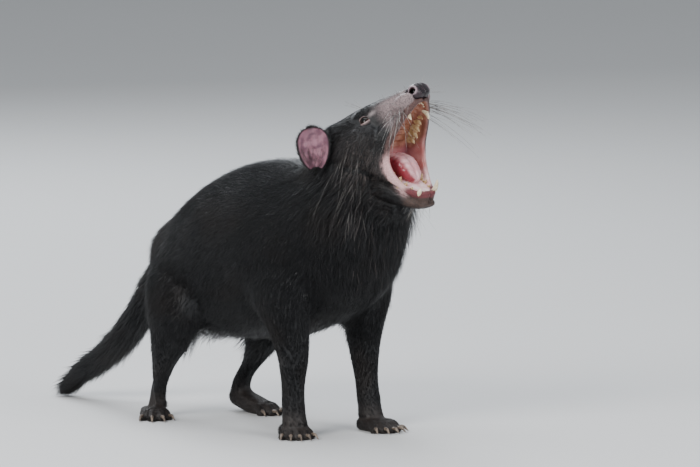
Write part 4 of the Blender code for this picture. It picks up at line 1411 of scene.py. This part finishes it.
# Along the nostril from its mouth to the end of its slit: share of the way, width, depth.
NOSTRIL_STOPS, NOSTRIL_WIDTHS, NOSTRIL_DEPTHS = [0, 0.3, 0.6, 1], [3.6, 3.3, 1.6, 0.8], [7.5, 6.5, 2.2, 0.8]
NOSTRIL_AXIS = (0.5, -0.05, 0.86)


def nose_pad():
    """The rounded box of the pad, hollowed along each nostril and its slit."""
    pad = make_object("nose_pad", [ball(from_head(NOSE_CENTRE), NOSE_RADII, HEAD_AXES, 150)])
    points = places_of(pad)
    middle = from_head(NOSE_CENTRE)
    place(pad, middle + (points - middle) / nose_reach(points)[:, None])
    points, normals = places_of(pad), normals_of(pad)
    spots, line = to_head(points), eased(NOSTRIL_LINE, 6)
    ring, hollow = np.zeros(len(points)), np.zeros(len(points))
    for side in (-1, 1):
        gaps = np.linalg.norm(spots[:, None] - sided(line, side)[None], axis=2)
        where = gaps.argmin(axis=1) / (len(line) - 1)
        gap = gaps.min(axis=1) / np.interp(where, NOSTRIL_STOPS, NOSTRIL_WIDTHS)
        sink = np.interp(where, NOSTRIL_STOPS, NOSTRIL_DEPTHS) * (1 - ramp(gap, 0.5, 1.0))
        points = points - sink[:, None] * (sided(NOSTRIL_AXIS, side) @ HEAD_AXES)
        hollow = np.maximum(hollow, sink)
        # A raised ring round each nostril's mouth. The material paints it pale, a painted highlight of the
        # wet rim.
        ring += np.exp(-(((gap - 1.3) / 0.3) ** 2)) * np.interp(where, [0, 0.5, 1], [1, 0.7, 0])
    groove = 0.9 * np.exp(-((spots[:, 2] / 0.7) ** 2)) * ramp(spots[:, 0], 102, 108)
    place(pad, points + normals * (ring - groove)[:, None])
    note(pad, "hollow", ramp(hollow, 0.5, 4))
    note(pad, "ring", ring)
    return pad


def nose_material():
    paint = Paint("nose", 0.26, 0.36, coat_weight=0.15, coat_roughness=0.12)
    # The pale ring round each nostril is a painted highlight of its wet rim.
    tone = paint.layered(
        paint.mottle(180, 0.4, 0.65, (0.010, 0.006, 0.009), (0.026, 0.014, 0.019)), ring=(0.34, 0.25, 0.28)
    )
    # The nostril's wall is red-brown. Deeper in, it is painted near black: painted shade deep in the hole.
    hollow = paint.mask("hollow")
    tone = paint.mix(paint.spread(hollow, 0.1, 0.6), tone, (0.085, 0.035, 0.035))
    paint.colour(paint.mix(paint.spread(hollow, 0.6, 1.0), tone, (0.004, 0.002, 0.002)))
    cells = paint.nodes.new("ShaderNodeTexVoronoi")
    cells.inputs["Scale"].default_value = 1500
    paint.links.new(paint.place, cells.inputs["Vector"])
    paint.bump(cells.outputs["Distance"], 0.3, 0.6)
    return paint.material


pad = nose_pad()
pad.data.materials.append(nose_material())
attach(pad, "root")
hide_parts("nose")
print("nose pad:", len(pad.data.polygons), "faces")

# %% [markdown]
# ## Ears
#
# Each ear is a thin rounded cup, bare and pink inside with a few folds, and furred at its back and rim.
# One sheet with a thickness added would have the same folds on its back. So its two faces come from one
# curved grid, each with its own heights, and are closed round the rim.

# %% Ears
EAR_BASE = (-28.5, 0.5, 54)
EAR_LENGTH_AXIS, EAR_FACING = (0.6, 0.78, 0.12), (0.56, -0.32, 0.76)
EAR_LENGTH, EAR_WIDTH, EAR_DEPTH, EAR_THICK, EAR_WIDEST, EAR_POINTS = 47, 37, 16, 1.6, 0.62, 41


def ear_axes(side):
    """Along the ear, out of its cup, and across it, in the head's frame."""
    long_axis = unit(sided(EAR_LENGTH_AXIS, side))
    facing = sided(EAR_FACING, side)
    facing = unit(facing - long_axis * facing.dot(long_axis))
    return long_axis, facing, np.cross(long_axis, facing)


def ear_folds(a, b, side):
    """The height of the ridges inside the cup, at share a of its length and share b across."""
    middle = np.exp(-(((b - 0.35 * side * (1 - a)) / 0.13) ** 2))
    middle *= ramp(a, 0.12, 0.3) * (1 - ramp(a, 0.6, 0.85))
    lower = np.exp(-(((b + 0.45) / 0.12) ** 2)) * ramp(a, 0.05, 0.2) * (1 - ramp(a, 0.45, 0.7))
    ripples = np.sin(a * 26) * (1 - ramp(np.abs(b), 0.5, 0.9)) * (1 - ramp(a, 0.5, 0.8))
    return 1.6 * middle + 1.2 * lower + 0.5 * ripples


def two_sheets(n):
    """The faces of two sheets of n by n points, back to back and joined round their edge."""
    faces, back = [], n * n
    for i in range(n - 1):
        for j in range(n - 1):
            k = i * n + j
            faces.append((k, k + 1, k + n + 1, k + n))
            faces.append((back + k, back + k + n, back + k + n + 1, back + k + 1))
    rim = [*range(n), *range(2 * n - 1, back, n)]
    rim += [*range(back - 2, back - n - 1, -1), *range(back - 2 * n, 0, -n)]
    for k, first in enumerate(rim):
        second = rim[(k + 1) % len(rim)]
        faces.append((first, back + first, back + second, second))
    return faces


def ear_shape(side):
    """The ear, and for each point how far inside the bare cup it lies."""
    long_axis, facing, across_axis = ear_axes(side)
    a, b = np.meshgrid(np.linspace(0, 1, EAR_POINTS), np.linspace(-1, 1, EAR_POINTS), indexing="ij")
    below, above = EAR_WIDEST * 1.08, (1 - EAR_WIDEST) * 1.03
    way = np.where(a < EAR_WIDEST, (a - EAR_WIDEST) / below, (a - EAR_WIDEST) / above)
    half = EAR_WIDTH / 2 * np.sqrt(1 - way * way)
    cup = EAR_DEPTH * (b * b * (1 - 0.5 * a) + 0.5 * a * a - 0.5)
    edge = np.minimum(1 - np.abs(b), np.minimum(a + 0.2, 1 - a) * 1.6)
    thick = EAR_THICK * (0.35 + 0.65 * ramp(edge, 0, 0.2))

    def sheet(offset, shrink):
        spot = sided(EAR_BASE, side) + a[..., None] * EAR_LENGTH * long_axis
        spot = spot + (half * shrink * b)[..., None] * across_axis
        return from_head(spot + offset[..., None] * facing).reshape(-1, 3)

    points = np.vstack([sheet(cup + thick / 2 + ear_folds(a, b, side), 0.975), sheet(cup - thick / 2, 1.0)])
    inner = np.concatenate([ramp(edge, 0.03, 0.16).ravel(), np.zeros(EAR_POINTS**2)])
    return (points, two_sheets(EAR_POINTS)), inner


print("points in an ear:", 2 * EAR_POINTS**2)


# %% Make the ears
def ear_material():
    paint = Paint("ear", 0.5, 0.4, subsurface_weight=0.12)
    paint.shader.inputs["Subsurface Radius"].default_value = GLOW_DEPTHS
    inside = paint.mottle(95, 0.42, 0.6, (0.37, 0.185, 0.235), (0.19, 0.088, 0.122), detail=4)
    paint.colour(paint.layered(coat_colour(paint), inner=inside))
    paint.bump(paint.noise(400), 0.3, 0.5)
    return paint.material


ear_skin = ear_material()
ears = {}
for side, word in SIDES:
    shape, inner = ear_shape(side)
    ear = make_object("ear_cup_" + word, [shape])
    note(ear, "inner", inner)
    ear.data.materials.append(ear_skin)
    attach(ear, "root")
    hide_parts("ear_" + word)
    ears[word] = ear, inner
    print(word, "ear:", EAR_LENGTH, "by", EAR_WIDTH, "mm")

# %% [markdown]
# ## Claws
#
# Long, pale and slightly curved, one on each toe. They could be fused with the skin, but the remesh would
# blunt them. So each is a bent cone of its own, which leaves the toe's end and comes down to the floor.


# %% Claws
def claw_material():
    paint = Paint("claw", 0.32, 0.5)
    tone = paint.spread(paint.noise(240, stretch=(1, 1, 0.3)), 0.35, 0.7)
    paint.colour(paint.mix(tone, (0.23, 0.18, 0.14), (0.07, 0.052, 0.042)))
    return paint.material


def claw_shapes(foot):
    found = []
    for line, way in toe_lines(foot):
        root = line[-1] + way * (TOE_RADIUS * 0.3)
        tip = (root + way * CLAW_LENGTH) * (1, 1, 0) + (0, 0, 1.0)
        path = eased([root + (0, 0, 1.2), root + way * CLAW_LENGTH * 0.5 + (0, 0, 1.8), tip], 5)
        path, share = tapered(path, (0, 1), (0.5, 0.78), (0.85, 0.4), (1, 0.14))
        found.append(tube(path, CLAW_RADIUS * share, 12))
    return found


claws = make_object("claws", [shape for foot in FEET for shape in claw_shapes(foot)])
claws.data.materials.append(claw_material())
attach(claws, "root")
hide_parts(*PAW_NODES)
print("claws:", len(claws.data.polygons), "faces")

# %% [markdown]
# ## The coat
#
# Blender can grow hair as curves, but curves are lost on export. So each hair or tuft is a small closed
# solid. Short hairs are straight spikes of four triangles, which are cheap enough to grow by the hundred
# thousand. Long guard hairs and the tail's brush are blades of ten triangles with a bend. Roots are drawn
# at random over the skin. Each hair follows the guides, leans a little with its clump, and gets a small
# patch on the bake map at its root's place.

# %% Spikes and blades of hair
PATCH = 0.0015
SPIKE = {
    "rings": ((0.0, 1.0),),
    "faces": np.array([(0, 2, 1), (0, 1, 3), (1, 2, 3), (2, 0, 3)]),
    "patch": np.array([(-1, -1), (1, -1), (0, -0.2), (0, 1)]) * PATCH,
}
BLADE = {
    "rings": ((0.0, 0.7), (0.45, 1.0)),
    "faces": np.array([
        (0, 2, 1), (0, 1, 4), (0, 4, 3), (1, 2, 5), (1, 5, 4),
        (2, 0, 3), (2, 3, 5), (3, 4, 6), (4, 5, 6), (5, 3, 6),
    ]),
    "patch": np.array([(-1, -1), (1, -1), (0, -0.6), (-0.8, 0.2), (0.8, 0.2), (0, 0.5), (0, 1)]) * PATCH,
}


def hair_corners(kind, roots, normals, ways, lengths, rises, widths, bend, sink, floor=0.4):
    """The corners of each hair, from its root to its tip, none of them lower than the floor."""
    side = np.cross(normals, ways)
    rise = np.radians(rises)[:, None]

    def at(t):
        up = np.sin(rise) * (t - 0.42 * t * t)
        along = (ways * (np.cos(rise) * t) + normals * up) * lengths[:, None]
        return roots - normals * sink + along + bend * t * t

    rings = []
    for t, share in kind["rings"]:
        half = (widths * share / 2)[:, None]
        rings += [at(t) - side * half, at(t) + side * half, at(t) + normals * half * 0.7]
    corners = np.stack([*rings, at(1.0)], axis=1)
    corners[..., 2] = np.maximum(corners[..., 2], floor)
    return corners


def hair_object(name, kind, corners, uv, shade, pale):
    """One mesh of many hairs, with its bake map and a shade and paleness for each hair."""
    count, each = corners.shape[:2]
    mesh = bpy.data.meshes.new(name)
    mesh.vertices.add(count * each)
    mesh.vertices.foreach_set("co", ((corners + SHIFT) * MM).astype(np.float32).ravel())
    faces = (kind["faces"][None] + each * np.arange(count)[:, None, None]).reshape(-1, 3)
    mesh.loops.add(faces.size)
    mesh.loops.foreach_set("vertex_index", faces.ravel().astype(np.int32))
    mesh.polygons.add(len(faces))
    mesh.polygons.foreach_set("loop_start", np.arange(0, faces.size, 3, dtype=np.int32))
    mesh.update(calc_edges=True)
    layer = mesh.uv_layers.new(name="OFBake")
    patches = (np.clip(uv, PATCH, 1 - PATCH)[:, None] + kind["patch"][None]).reshape(-1, 2)
    layer.data.foreach_set("uv", patches[faces.ravel()].astype(np.float32).ravel())
    mesh.shade_smooth()
    obj = shown(name, mesh)
    note(obj, "shade", np.repeat(shade, each))
    note(obj, "pale", np.repeat(pale, each))
    return obj


print("triangles in a spike:", len(SPIKE["faces"]), "in a blade:", len(BLADE["faces"]))


# %% Unwrap, scatter, clump and turn
def unwrap(points, origin, axis):
    """A cylinder unwrap about an axis: length along it and angle round it, both from 0 to 1."""
    axis = unit(axis)
    aside = unit(np.cross(axis, (0.1, 0.9, 0.3)))
    apart = points - np.asarray(origin, float)
    along = apart @ axis
    angle = np.arctan2(apart @ np.cross(axis, aside), apart @ aside)
    span = max(along.max() - along.min(), 1e-6)
    return np.column_stack([0.01 + 0.98 * (along - along.min()) / span, 0.5 + angle / (2 * math.pi)])


def ripple(points, scale, seed):
    """A smooth wandering value from -1 to 1, for swirls in the coat."""
    ways = np.random.default_rng(seed).normal(size=(6, 3))
    return sum(np.sin(points @ way / scale + 2.1 * k) for k, way in enumerate(ways)) / 3.5


def scattered(obj, density):
    """Random points over a mesh, with their normals, where density says how many to a square millimetre."""
    mesh = obj.data
    mesh.calc_loop_triangles()
    corners = read(mesh.loop_triangles, "vertices", 3, np.int32)
    points, normals = places_of(obj), normals_of(obj)
    a, b, c = points[corners[:, 0]], points[corners[:, 1]], points[corners[:, 2]]
    area = np.linalg.norm(np.cross(b - a, c - a), axis=1) / 2
    wanted = area * density[corners].mean(axis=1)
    owner = np.repeat(np.arange(len(wanted)), np.floor(wanted + draw.random(len(wanted))).astype(int))
    s, t = draw.random(len(owner)), draw.random(len(owner))
    flip = s + t > 1
    s[flip], t[flip] = 1 - s[flip], 1 - t[flip]
    share = np.column_stack([1 - s - t, s, t])[..., None]
    spots = (points[corners[owner]] * share).sum(axis=1)
    facing = (normals[corners[owner]] * share).sum(axis=1)
    return spots, units(facing), corners[owner], share[..., 0]


def clumped(roots, lengths, spacing, pull):
    """How far each tip leans towards the middle of its clump."""
    count = max(8, int(len(roots) / spacing))
    middles = roots[draw.choice(len(roots), count, replace=False)]
    tree = tree_of(middles)
    lean = (np.array([middles[tree.find(root)[1]] for root in roots]) - roots) * pull
    size = np.linalg.norm(lean, axis=1, keepdims=True)
    return lean * np.minimum(1, 0.4 * lengths[:, None] / np.maximum(size, 1e-6))


def across_surface(ways, facing):
    """Directions laid flat on the skin."""
    flat = ways - facing * (ways * facing).sum(axis=1, keepdims=True)
    return flat / np.maximum(np.linalg.norm(flat, axis=1, keepdims=True), 1e-6)


def turned(ways, facing, angle):
    """Directions turned on the skin, each by its own angle."""
    return ways * np.cos(angle)[:, None] + np.cross(facing, ways) * np.sin(angle)[:, None]


print("a ripple at three places:", ripple(np.eye(3) * 40, 30, 3).round(2))


# %% [markdown]
# ## Hair colour
#
# Each hair is black and glossy, a little brown in patches that it shares with the skin. On the muzzle, beside
# the lower lip and before the eye half of the hairs are pale. The cheeks are grizzled with pale hairs, partly
# grey-brown hair and partly a painted sheen of the cheek's fur. Patches of lighter hairs on the short coat
# are painted sheen as well. There could be a material for each shade, but then the coat would fall into far
# more pieces. So one material reads the shade and paleness that are kept with each hair. The coat is cut into
# pieces only by where it grows, so that none of them is too heavy.


# %% Hair material and pieces
HAIR_ROUGHNESS, HAIR_SHINE, PALE_HAIR = 0.33, 0.5, (0.17, 0.14, 0.13)


def hair_material():
    paint = Paint("coat_hair", HAIR_ROUGHNESS, HAIR_SHINE)
    # Hairs with a high shade take the lighter tone: random grey, and on the short coat a painted sheen.
    base = paint.mix(paint.spread(paint.mask("shade"), 0.55, 1.0), coat_colour(paint), SOOT_AND_SHEEN)
    paint.colour(paint.layered(base, pale=PALE_HAIR))
    return paint.material


black_hair = hair_material()
MOST_TRIANGLES = 195000
BODY_AXIS = ((0, 0, 200), (1, 0, 0.1))
HEAD_UNWRAP = (from_head((0, -20, 0)), HEAD_AXES[0])
# The axis of each piece's unwrap: a point on it and its direction.
UNWRAP_AXES = {
    **dict.fromkeys(("coat_head_right", "coat_head_left", "coat_guard_head"), HEAD_UNWRAP),
    "coat_front_legs": ((95, 0, 0), (0, 0, 1)),
    "coat_hind_legs": ((-90, 0, 0), (0, 0, 1)),
    "coat_tail": ((-214, 0, 104), (-1, 0, -0.9)),
    **{"coat_ear_" + word: (from_head(sided((-20, 10, 50), side)), HEAD_AXES[1]) for side, word in SIDES},
}
HAIR_SHARE = 1.0


def region_of(roots):
    """A piece of the coat for each root, by the first of these places that it grows in."""
    x, y, z = roots.T
    head = near_head(roots) > 0.5
    on_leg = (z < 135) & (np.abs(y) > 22) & ~head
    rules = {
        "coat_front_legs": on_leg & (x > 30),
        "coat_hind_legs": on_leg & (x < -30),
        "coat_head_right": head & (to_head(roots)[:, 2] >= 0),
        "coat_head_left": head,
        "coat_shoulder_left": (x > 95) & (y > 0),
        "coat_shoulder_right": x > 95,
        "coat_rump": x < -70,
        "coat_back": (z > 245) & (x < 90),
        "coat_flank_left": y > 0,
    }
    return np.select(list(rules.values()), list(rules), "coat_flank_right")


def add_piece(name, kind, roots, corners, shades, pale):
    """Makes one named part of the coat, in as many objects as it needs, and counts its triangles."""
    parts = math.ceil(len(roots) * len(kind["faces"]) / MOST_TRIANGLES)
    uv = unwrap(roots, *UNWRAP_AXES.get(name, BODY_AXIS))
    for k in range(parts):
        label = name + (f"_{k + 1}" if parts > 1 else "")
        pick = slice(k, None, parts)
        obj = hair_object(label, kind, corners[pick], uv[pick], shades[pick], pale[pick])
        obj.data.materials.append(black_hair)
        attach(obj, "root")
    print(name, len(roots), "hairs in", parts)
    return len(roots) * len(kind["faces"])


coat_triangles = 0
print("share of the hair that is grown:", HAIR_SHARE)


# %% [markdown]
# ## Growing the short coat
#
# Short hair covers nearly the whole animal, but keeps off the lining, the lips, the lids, the nose pad
# and the soles. It is thin on the muzzle, where pale skin shows through. Hairs could be spread evenly,
# but where they are short they hide less skin. So they stand closer there.

# %% Where the hair grows
HAIRS_FOR_LENGTH, HAIRS_PER_MM2 = 9.0, (0.5, 2.2)
WIDTH_STOPS, HAIR_WIDTHS = [1.5, 4, 8, 16], [0.24, 0.34, 0.50, 0.66]
# The cheek is grizzled with pale hairs: grey-brown hair, and a painted sheen of the cheek's fur.
CHEEK_SPOT, CHEEK_SIZE, GRIZZLE_AND_SHEEN, PALE_SHARE = (20, -27, 44), (28, 30, 24), 1.3, 0.65
points, normals = places_of(skin), normals_of(skin)
upper = 1 - ramp(-v, 30, 45)
clear = (1 - ramp(lining, 0.1, 0.4)) * ramp(lip_gap, 3.6 - 1.2 * upper, 6.0 - 1.6 * upper)
clear *= ramp(nose_reach(points), 1.0, 1.08) * ramp(eye_gap, 6.4, 7.8) * ramp(points[:, 2], 2.5, 5)
clear *= 1 - down_the_tail(points)
per_mm2 = np.clip(HAIRS_FOR_LENGTH / coat_lengths, *HAIRS_PER_MM2) * (1 - 0.35 * bare)
roots, facing, corner, share = scattered(skin, per_mm2 * clear * HAIR_SHARE)
print("hairs of the short coat:", len(roots))

# %% [markdown]
# ## How the short hairs differ
#
# Real hairs lie almost side by side, yet no two are alike. Equal hairs would look like a brush, and hairs
# without order like felt. So each keeps to the guides, with a swirl that it shares with its neighbours
# and with a length, rise and width of its own. Small clumps draw their tips together.

# %% Comb and cut the short hairs
lie = combed(roots)
swirl = ripple(roots, 30, 3) * 0.24 + ripple(roots, 9, 4) * 0.13 + draw.normal(0, 0.11, len(roots))
ways = turned(across_surface(lie[:, :3], facing), facing, swirl)
lengths = lie[:, 3] * draw.uniform(0.75, 1.25, len(roots))
rises = lie[:, 4] * draw.uniform(0.5, 1.8, len(roots)) * (1 + 0.35 * ripple(roots, 16, 9))
widths = np.interp(lie[:, 3], WIDTH_STOPS, HAIR_WIDTHS) * draw.uniform(0.75, 1.25, len(roots))
bend = clumped(roots, lengths, 16, 0.45)
bend -= facing * (bend * facing).sum(axis=1, keepdims=True) * 0.7
corners = hair_corners(SPIKE, roots, facing, ways, lengths, rises, widths, bend, 0.4, floor=0.3)
# Each hair's shade is its own random tone, plus a 12 mm ripple of lighter patches that is painted sheen.
shades = np.clip(0.5 + 0.16 * ripple(roots, 12, 5) + draw.normal(0, 0.2, len(roots)), 0, 1)
# Cheek hairs painted paler: grey-brown grizzled hair, and a painted sheen.
grizzle_and_sheen = GRIZZLE_AND_SHEEN * near(both_sides, CHEEK_SPOT, CHEEK_SIZE)
paleness = np.clip(bare * (1 - 0.75 * chin) + beside_eye, 0, 1)
pale = PALE_SHARE * (paleness[corner] * share).sum(axis=1) * (draw.random(len(roots)) < 0.5)
pale = np.clip(pale + (grizzle_and_sheen[corner] * share).sum(axis=1) * draw.random(len(roots)), 0, 1)
piece = region_of(roots)
for name in sorted(set(piece)):
    pick = piece == name
    coat_triangles += add_piece(name, SPIKE, roots[pick], corners[pick], shades[pick], pale[pick])

# %% [markdown]
# ## Guard hairs
#
# Longer, coarser hairs stand out of the short coat. They make the shaggy cheeks and neck and a fringe
# before each thigh, and break up the outline everywhere else. They could be longer spikes, but straight
# ones would look like quills. So they are blades with a bend. A few of the longest on the head are grey.

# %% Guard hairs
GUARDS_PER_MM2, GREY_SHARE = 0.07, 0.08
# Each: place in the figure, reach, extra length as a share. Cheek and nape are given for the right side.
SHAGGY = [
    (from_head(sided(where, side)), reach, more)
    for where, reach, more in (((-10, -40, 48), 45, 0.7), ((-34, 14, 36), 28, 0.5))
    for side in (1, -1)
] + [((-66, -30, 98), 26, 1.3), ((-60, 30, 98), 26, 1.3), ((160, 0, 250), 60, 0.4)]


def shag(points):
    """How much longer than the short coat the guard hairs are, on top of the usual share."""
    extra = np.zeros(len(points))
    for middle, reach, more in SHAGGY:
        extra += more * near(points, middle, reach)
    return extra


wanted = GUARDS_PER_MM2 * ramp(coat_lengths, 6, 12) * (1 + 1.5 * shag(points)) * clear
roots, facing, *_ = scattered(skin, wanted * HAIR_SHARE)
lie, extra = combed(roots), shag(roots)
swirl = ripple(roots, 20, 6) * 0.25 + draw.normal(0, 0.2, len(roots))
ways = turned(across_surface(lie[:, :3] + (0, 0, -0.3), facing), facing, swirl)
lengths = lie[:, 3] * (1.25 + extra) * draw.uniform(0.8, 1.25, len(roots))
rises = (lie[:, 4] + 6 + 10 * extra) * draw.uniform(0.7, 1.5, len(roots))
widths = draw.uniform(0.3, 0.52, len(roots))
bend = clumped(roots, lengths, 7, 0.6) + np.outer(0.12 * lengths * (0.4 + extra), (0, 0, -1))
corners = hair_corners(BLADE, roots, facing, ways, lengths, rises, widths, bend, 0.4)
shades = np.clip(0.4 + draw.normal(0, 0.17, len(roots)), 0, 1)
grey = 0.5 * (draw.random(len(roots)) < GREY_SHARE * near_head(roots)) * ramp(lengths, 12, 20)
on_head = near_head(roots) > 0.5
for name, pick in (("coat_guard_head", on_head), ("coat_guard_body", ~on_head)):
    coat_triangles += add_piece(name, BLADE, roots[pick], corners[pick], shades[pick], grey[pick])

# %% [markdown]
# ## Fur on the ears
#
# The backs and rims of the ears are furred, and a few long hairs cross the cup at its base. A dark colour
# alone would leave the rims too clean against the light. So short hairs are grown there as on the body,
# and combed from the root of the ear to its rim.

# %% Ear fur
for side, word in SIDES:
    ear, inner = ears[word]
    long_axis, _, ear_across = (axis @ HEAD_AXES for axis in ear_axes(side))
    base = from_head(sided(EAR_BASE, side))
    height = (places_of(ear) - base) @ long_axis / EAR_LENGTH
    density = 1.7 * (1 - ramp(inner, 0, 0.5)) + 0.22 * inner * (1 - ramp(height, 0.15, 0.55))
    roots, facing, corner, share = scattered(ear, density * HAIR_SHARE)
    inside = (inner[corner] * share).sum(axis=1) > 0.5
    height = (roots - base) @ long_axis / EAR_LENGTH
    across = (roots - base) @ ear_across / (EAR_WIDTH / 2)
    ways = long_axis * np.where(inside, 0.6, 1.0)[:, None] + ear_across * across[:, None] * 0.9
    ways = turned(across_surface(ways, facing), facing, draw.normal(0, 0.25, len(roots)))
    lengths = np.where(inside, 15, 6.5 - 2.5 * ramp(height, 0.2, 0.8)) * draw.uniform(0.7, 1.2, len(roots))
    rises = np.where(inside, 24, 13) * draw.uniform(0.6, 1.5, len(roots))
    widths = np.where(inside, 0.3, 0.42) * draw.uniform(0.8, 1.2, len(roots))
    corners = hair_corners(SPIKE, roots, facing, ways, lengths, rises, widths, np.zeros(3), 0.3)
    shades = np.clip(0.45 + draw.normal(0, 0.17, len(roots)), 0, 1)
    pale = np.where(inside, 0.45, 0.0)
    coat_triangles += add_piece("coat_ear_" + word, SPIKE, roots, corners, shades, pale)

# %% [markdown]
# ## The tail's brush
#
# The tail's hair is much longer and stands off, so that the tail looks twice as thick as its flesh. It
# could be strewn over the skin as elsewhere, but placed by the tail's own line, it keeps even down to the
# thin end. It grows all round the core and runs to a point past the tip.

# %% Tail brush
TAIL_HAIRS = 18000
TAIL_STOPS, TAIL_HAIR_LENGTHS = [0.0, 0.12, 0.25, 0.45, 1.0], [16, 22, 32, 44, 40]
ROOT_DEPTH = 3.6


def grow_tail(count):
    """Roots round the tail's core, with the way out, the way along and the share of its length for each."""
    rows = eased(TAIL, 12)
    where = np.clip(0.04 + 0.96 * np.sqrt(draw.random(count)), 0, 0.999)
    low = (where * (len(rows) - 1)).astype(int)
    part = (where * (len(rows) - 1) - low)[:, None]
    row = rows[low] * (1 - part) + rows[low + 1] * part
    step = rows[low + 1, :2] - rows[low, :2]
    ahead = units(np.column_stack([step[:, 0], np.zeros(count), step[:, 1]]))
    up = np.column_stack([ahead[:, 2], np.zeros(count), -ahead[:, 0]])
    angle = draw.uniform(0, 2 * math.pi, count)
    out = np.outer(np.cos(angle), (0, 1, 0)) + up * np.sin(angle)[:, None]
    core = np.maximum(np.hypot(row[:, 3] * np.cos(angle), row[:, 2] * np.sin(angle)) - ROOT_DEPTH, 1.5)
    return np.column_stack([row[:, 0], np.zeros(count), row[:, 1]]) + out * core[:, None], out, ahead, where


roots, facing, ahead, where = grow_tail(TAIL_HAIRS)
under = 0.5 - 0.5 * facing[:, 2]
lengths = np.interp(where, TAIL_STOPS, TAIL_HAIR_LENGTHS) * (0.75 + 0.35 * under)
lengths = lengths * draw.uniform(0.7, 1.15, TAIL_HAIRS)
ways = turned(ahead, facing, draw.normal(0, 0.12, TAIL_HAIRS) + 0.12 * ripple(roots, 16, 8))
rises = draw.uniform(8, 22, TAIL_HAIRS) * (0.7 + 0.5 * under)
widths = draw.uniform(0.6, 1.0, TAIL_HAIRS)
bend = clumped(roots, lengths, 20, 0.65)
corners = hair_corners(BLADE, roots, facing, ways, lengths, rises, widths, bend, 0.6)
shades = np.clip(0.5 + draw.normal(0, 0.2, TAIL_HAIRS), 0, 1)
coat_triangles += add_piece("coat_tail", BLADE, roots, corners, shades, np.zeros(TAIL_HAIRS))
print("triangles in the whole coat:", coat_triangles)

# %% [markdown]
# ## Whiskers
#
# Long stiff bristles stand on the muzzle, over the eye, on the cheek and under the chin. Flat strips
# would be enough for them from one side only. So each is a thin tapered tube, bent by its own weight. The
# longest are cut back a little, to stay near the size of the solids.

# %% Whiskers
WHISKER_ROOM, WHISKER_POINTS, WHISKER_TIP = (24, 12, 19), 9, 0.05
# Each group: frame, root, root spread, direction, direction spread, lengths, how many, thickness, droop.
WHISKER_GROUPS = {
    "muzzle": ("head", (82, -6, 19), (11, 6, 1.0), (0.28, -0.55, 0.85), 0.24, (38, 82), 24, 0.26, 0.4),
    "snout": ("head", (94, 1, 14), (6, 5, 1.0), (0.45, -0.20, 0.85), 0.25, (18, 34), 8, 0.2, 0.25),
    "brow": ("head", (44, 27, 22), (4, 2, 2), (-0.35, 0.75, 0.5), 0.2, (12, 24), 5, 0.16, 0.15),
    "cheek": ("head", (6, -22, 50), (22, 18, 1), (-0.6, -0.7, 0.5), 0.3, (22, 52), 12, 0.13, 0.4),
    "jowl": ("head", (-10, -52, 48), (20, 20, 1), (-0.5, -0.8, 0.4), 0.3, (18, 44), 14, 0.12, 0.4),
    "chin": ("jaw", (94, -16, 10), (8, 3, 5), (0.2, -0.85, 0.3), 0.35, (8, 18), 9, 0.14, 0.2),
    "throat": ("jaw", (40, -36, 16), (14, 2, 10), (-0.3, -0.9, 0.3), 0.3, (12, 24), 8, 0.14, 0.3),
}


def whisker_line(root, way, length, droop):
    """A whisker's line, cut back until it stays near the solids' box."""
    low, high = (np.array(corner) / MM - SHIFT for corner in cad_box)
    t = np.linspace(0, 1, WHISKER_POINTS)[:, None]
    while True:
        line = root + way * length * t + np.array((0, 0, -1)) * droop * length * t * t * 0.5
        if (line > low - WHISKER_ROOM).all() and (line < high + WHISKER_ROOM).all():
            return line
        length *= 0.9


points, normals = places_of(skin), normals_of(skin)
on_head = near_head(points) > 0.05
points, normals = points[on_head], normals[on_head]
tree = tree_of(points)
whiskers = []
for which, root, spread, way, fan, lengths, count, thick, droop in WHISKER_GROUPS.values():
    place_on, axes = (from_head, HEAD_AXES) if which == "head" else (from_jaw, JAW_AXES)
    for side in [-1] * count + [1] * count:
        spot = np.array(root) + draw.uniform(-1, 1, 3) * spread
        _, index, _ = tree.find(place_on(sided(spot, side)))
        heading = np.array(way) + draw.normal(0, fan, 3)
        heading = unit(sided(heading, side) @ axes + normals[index] * 0.35)
        line = whisker_line(points[index] - normals[index] * 0.8, heading, draw.uniform(*lengths), droop)
        whiskers.append(tube(line, np.linspace(thick, WHISKER_TIP, WHISKER_POINTS), 5))


def whisker_material():
    paint = Paint("whisker", 0.35, 0.5)
    paint.colour(paint.mottle(60, 0.4, 0.6, (0.30, 0.28, 0.26), (0.09, 0.08, 0.08), detail=2))
    return paint.material


whisker = make_object("whiskers", whiskers)
whisker.data.materials.append(whisker_material())
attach(whisker, "root")
print("whiskers:", len(whiskers))
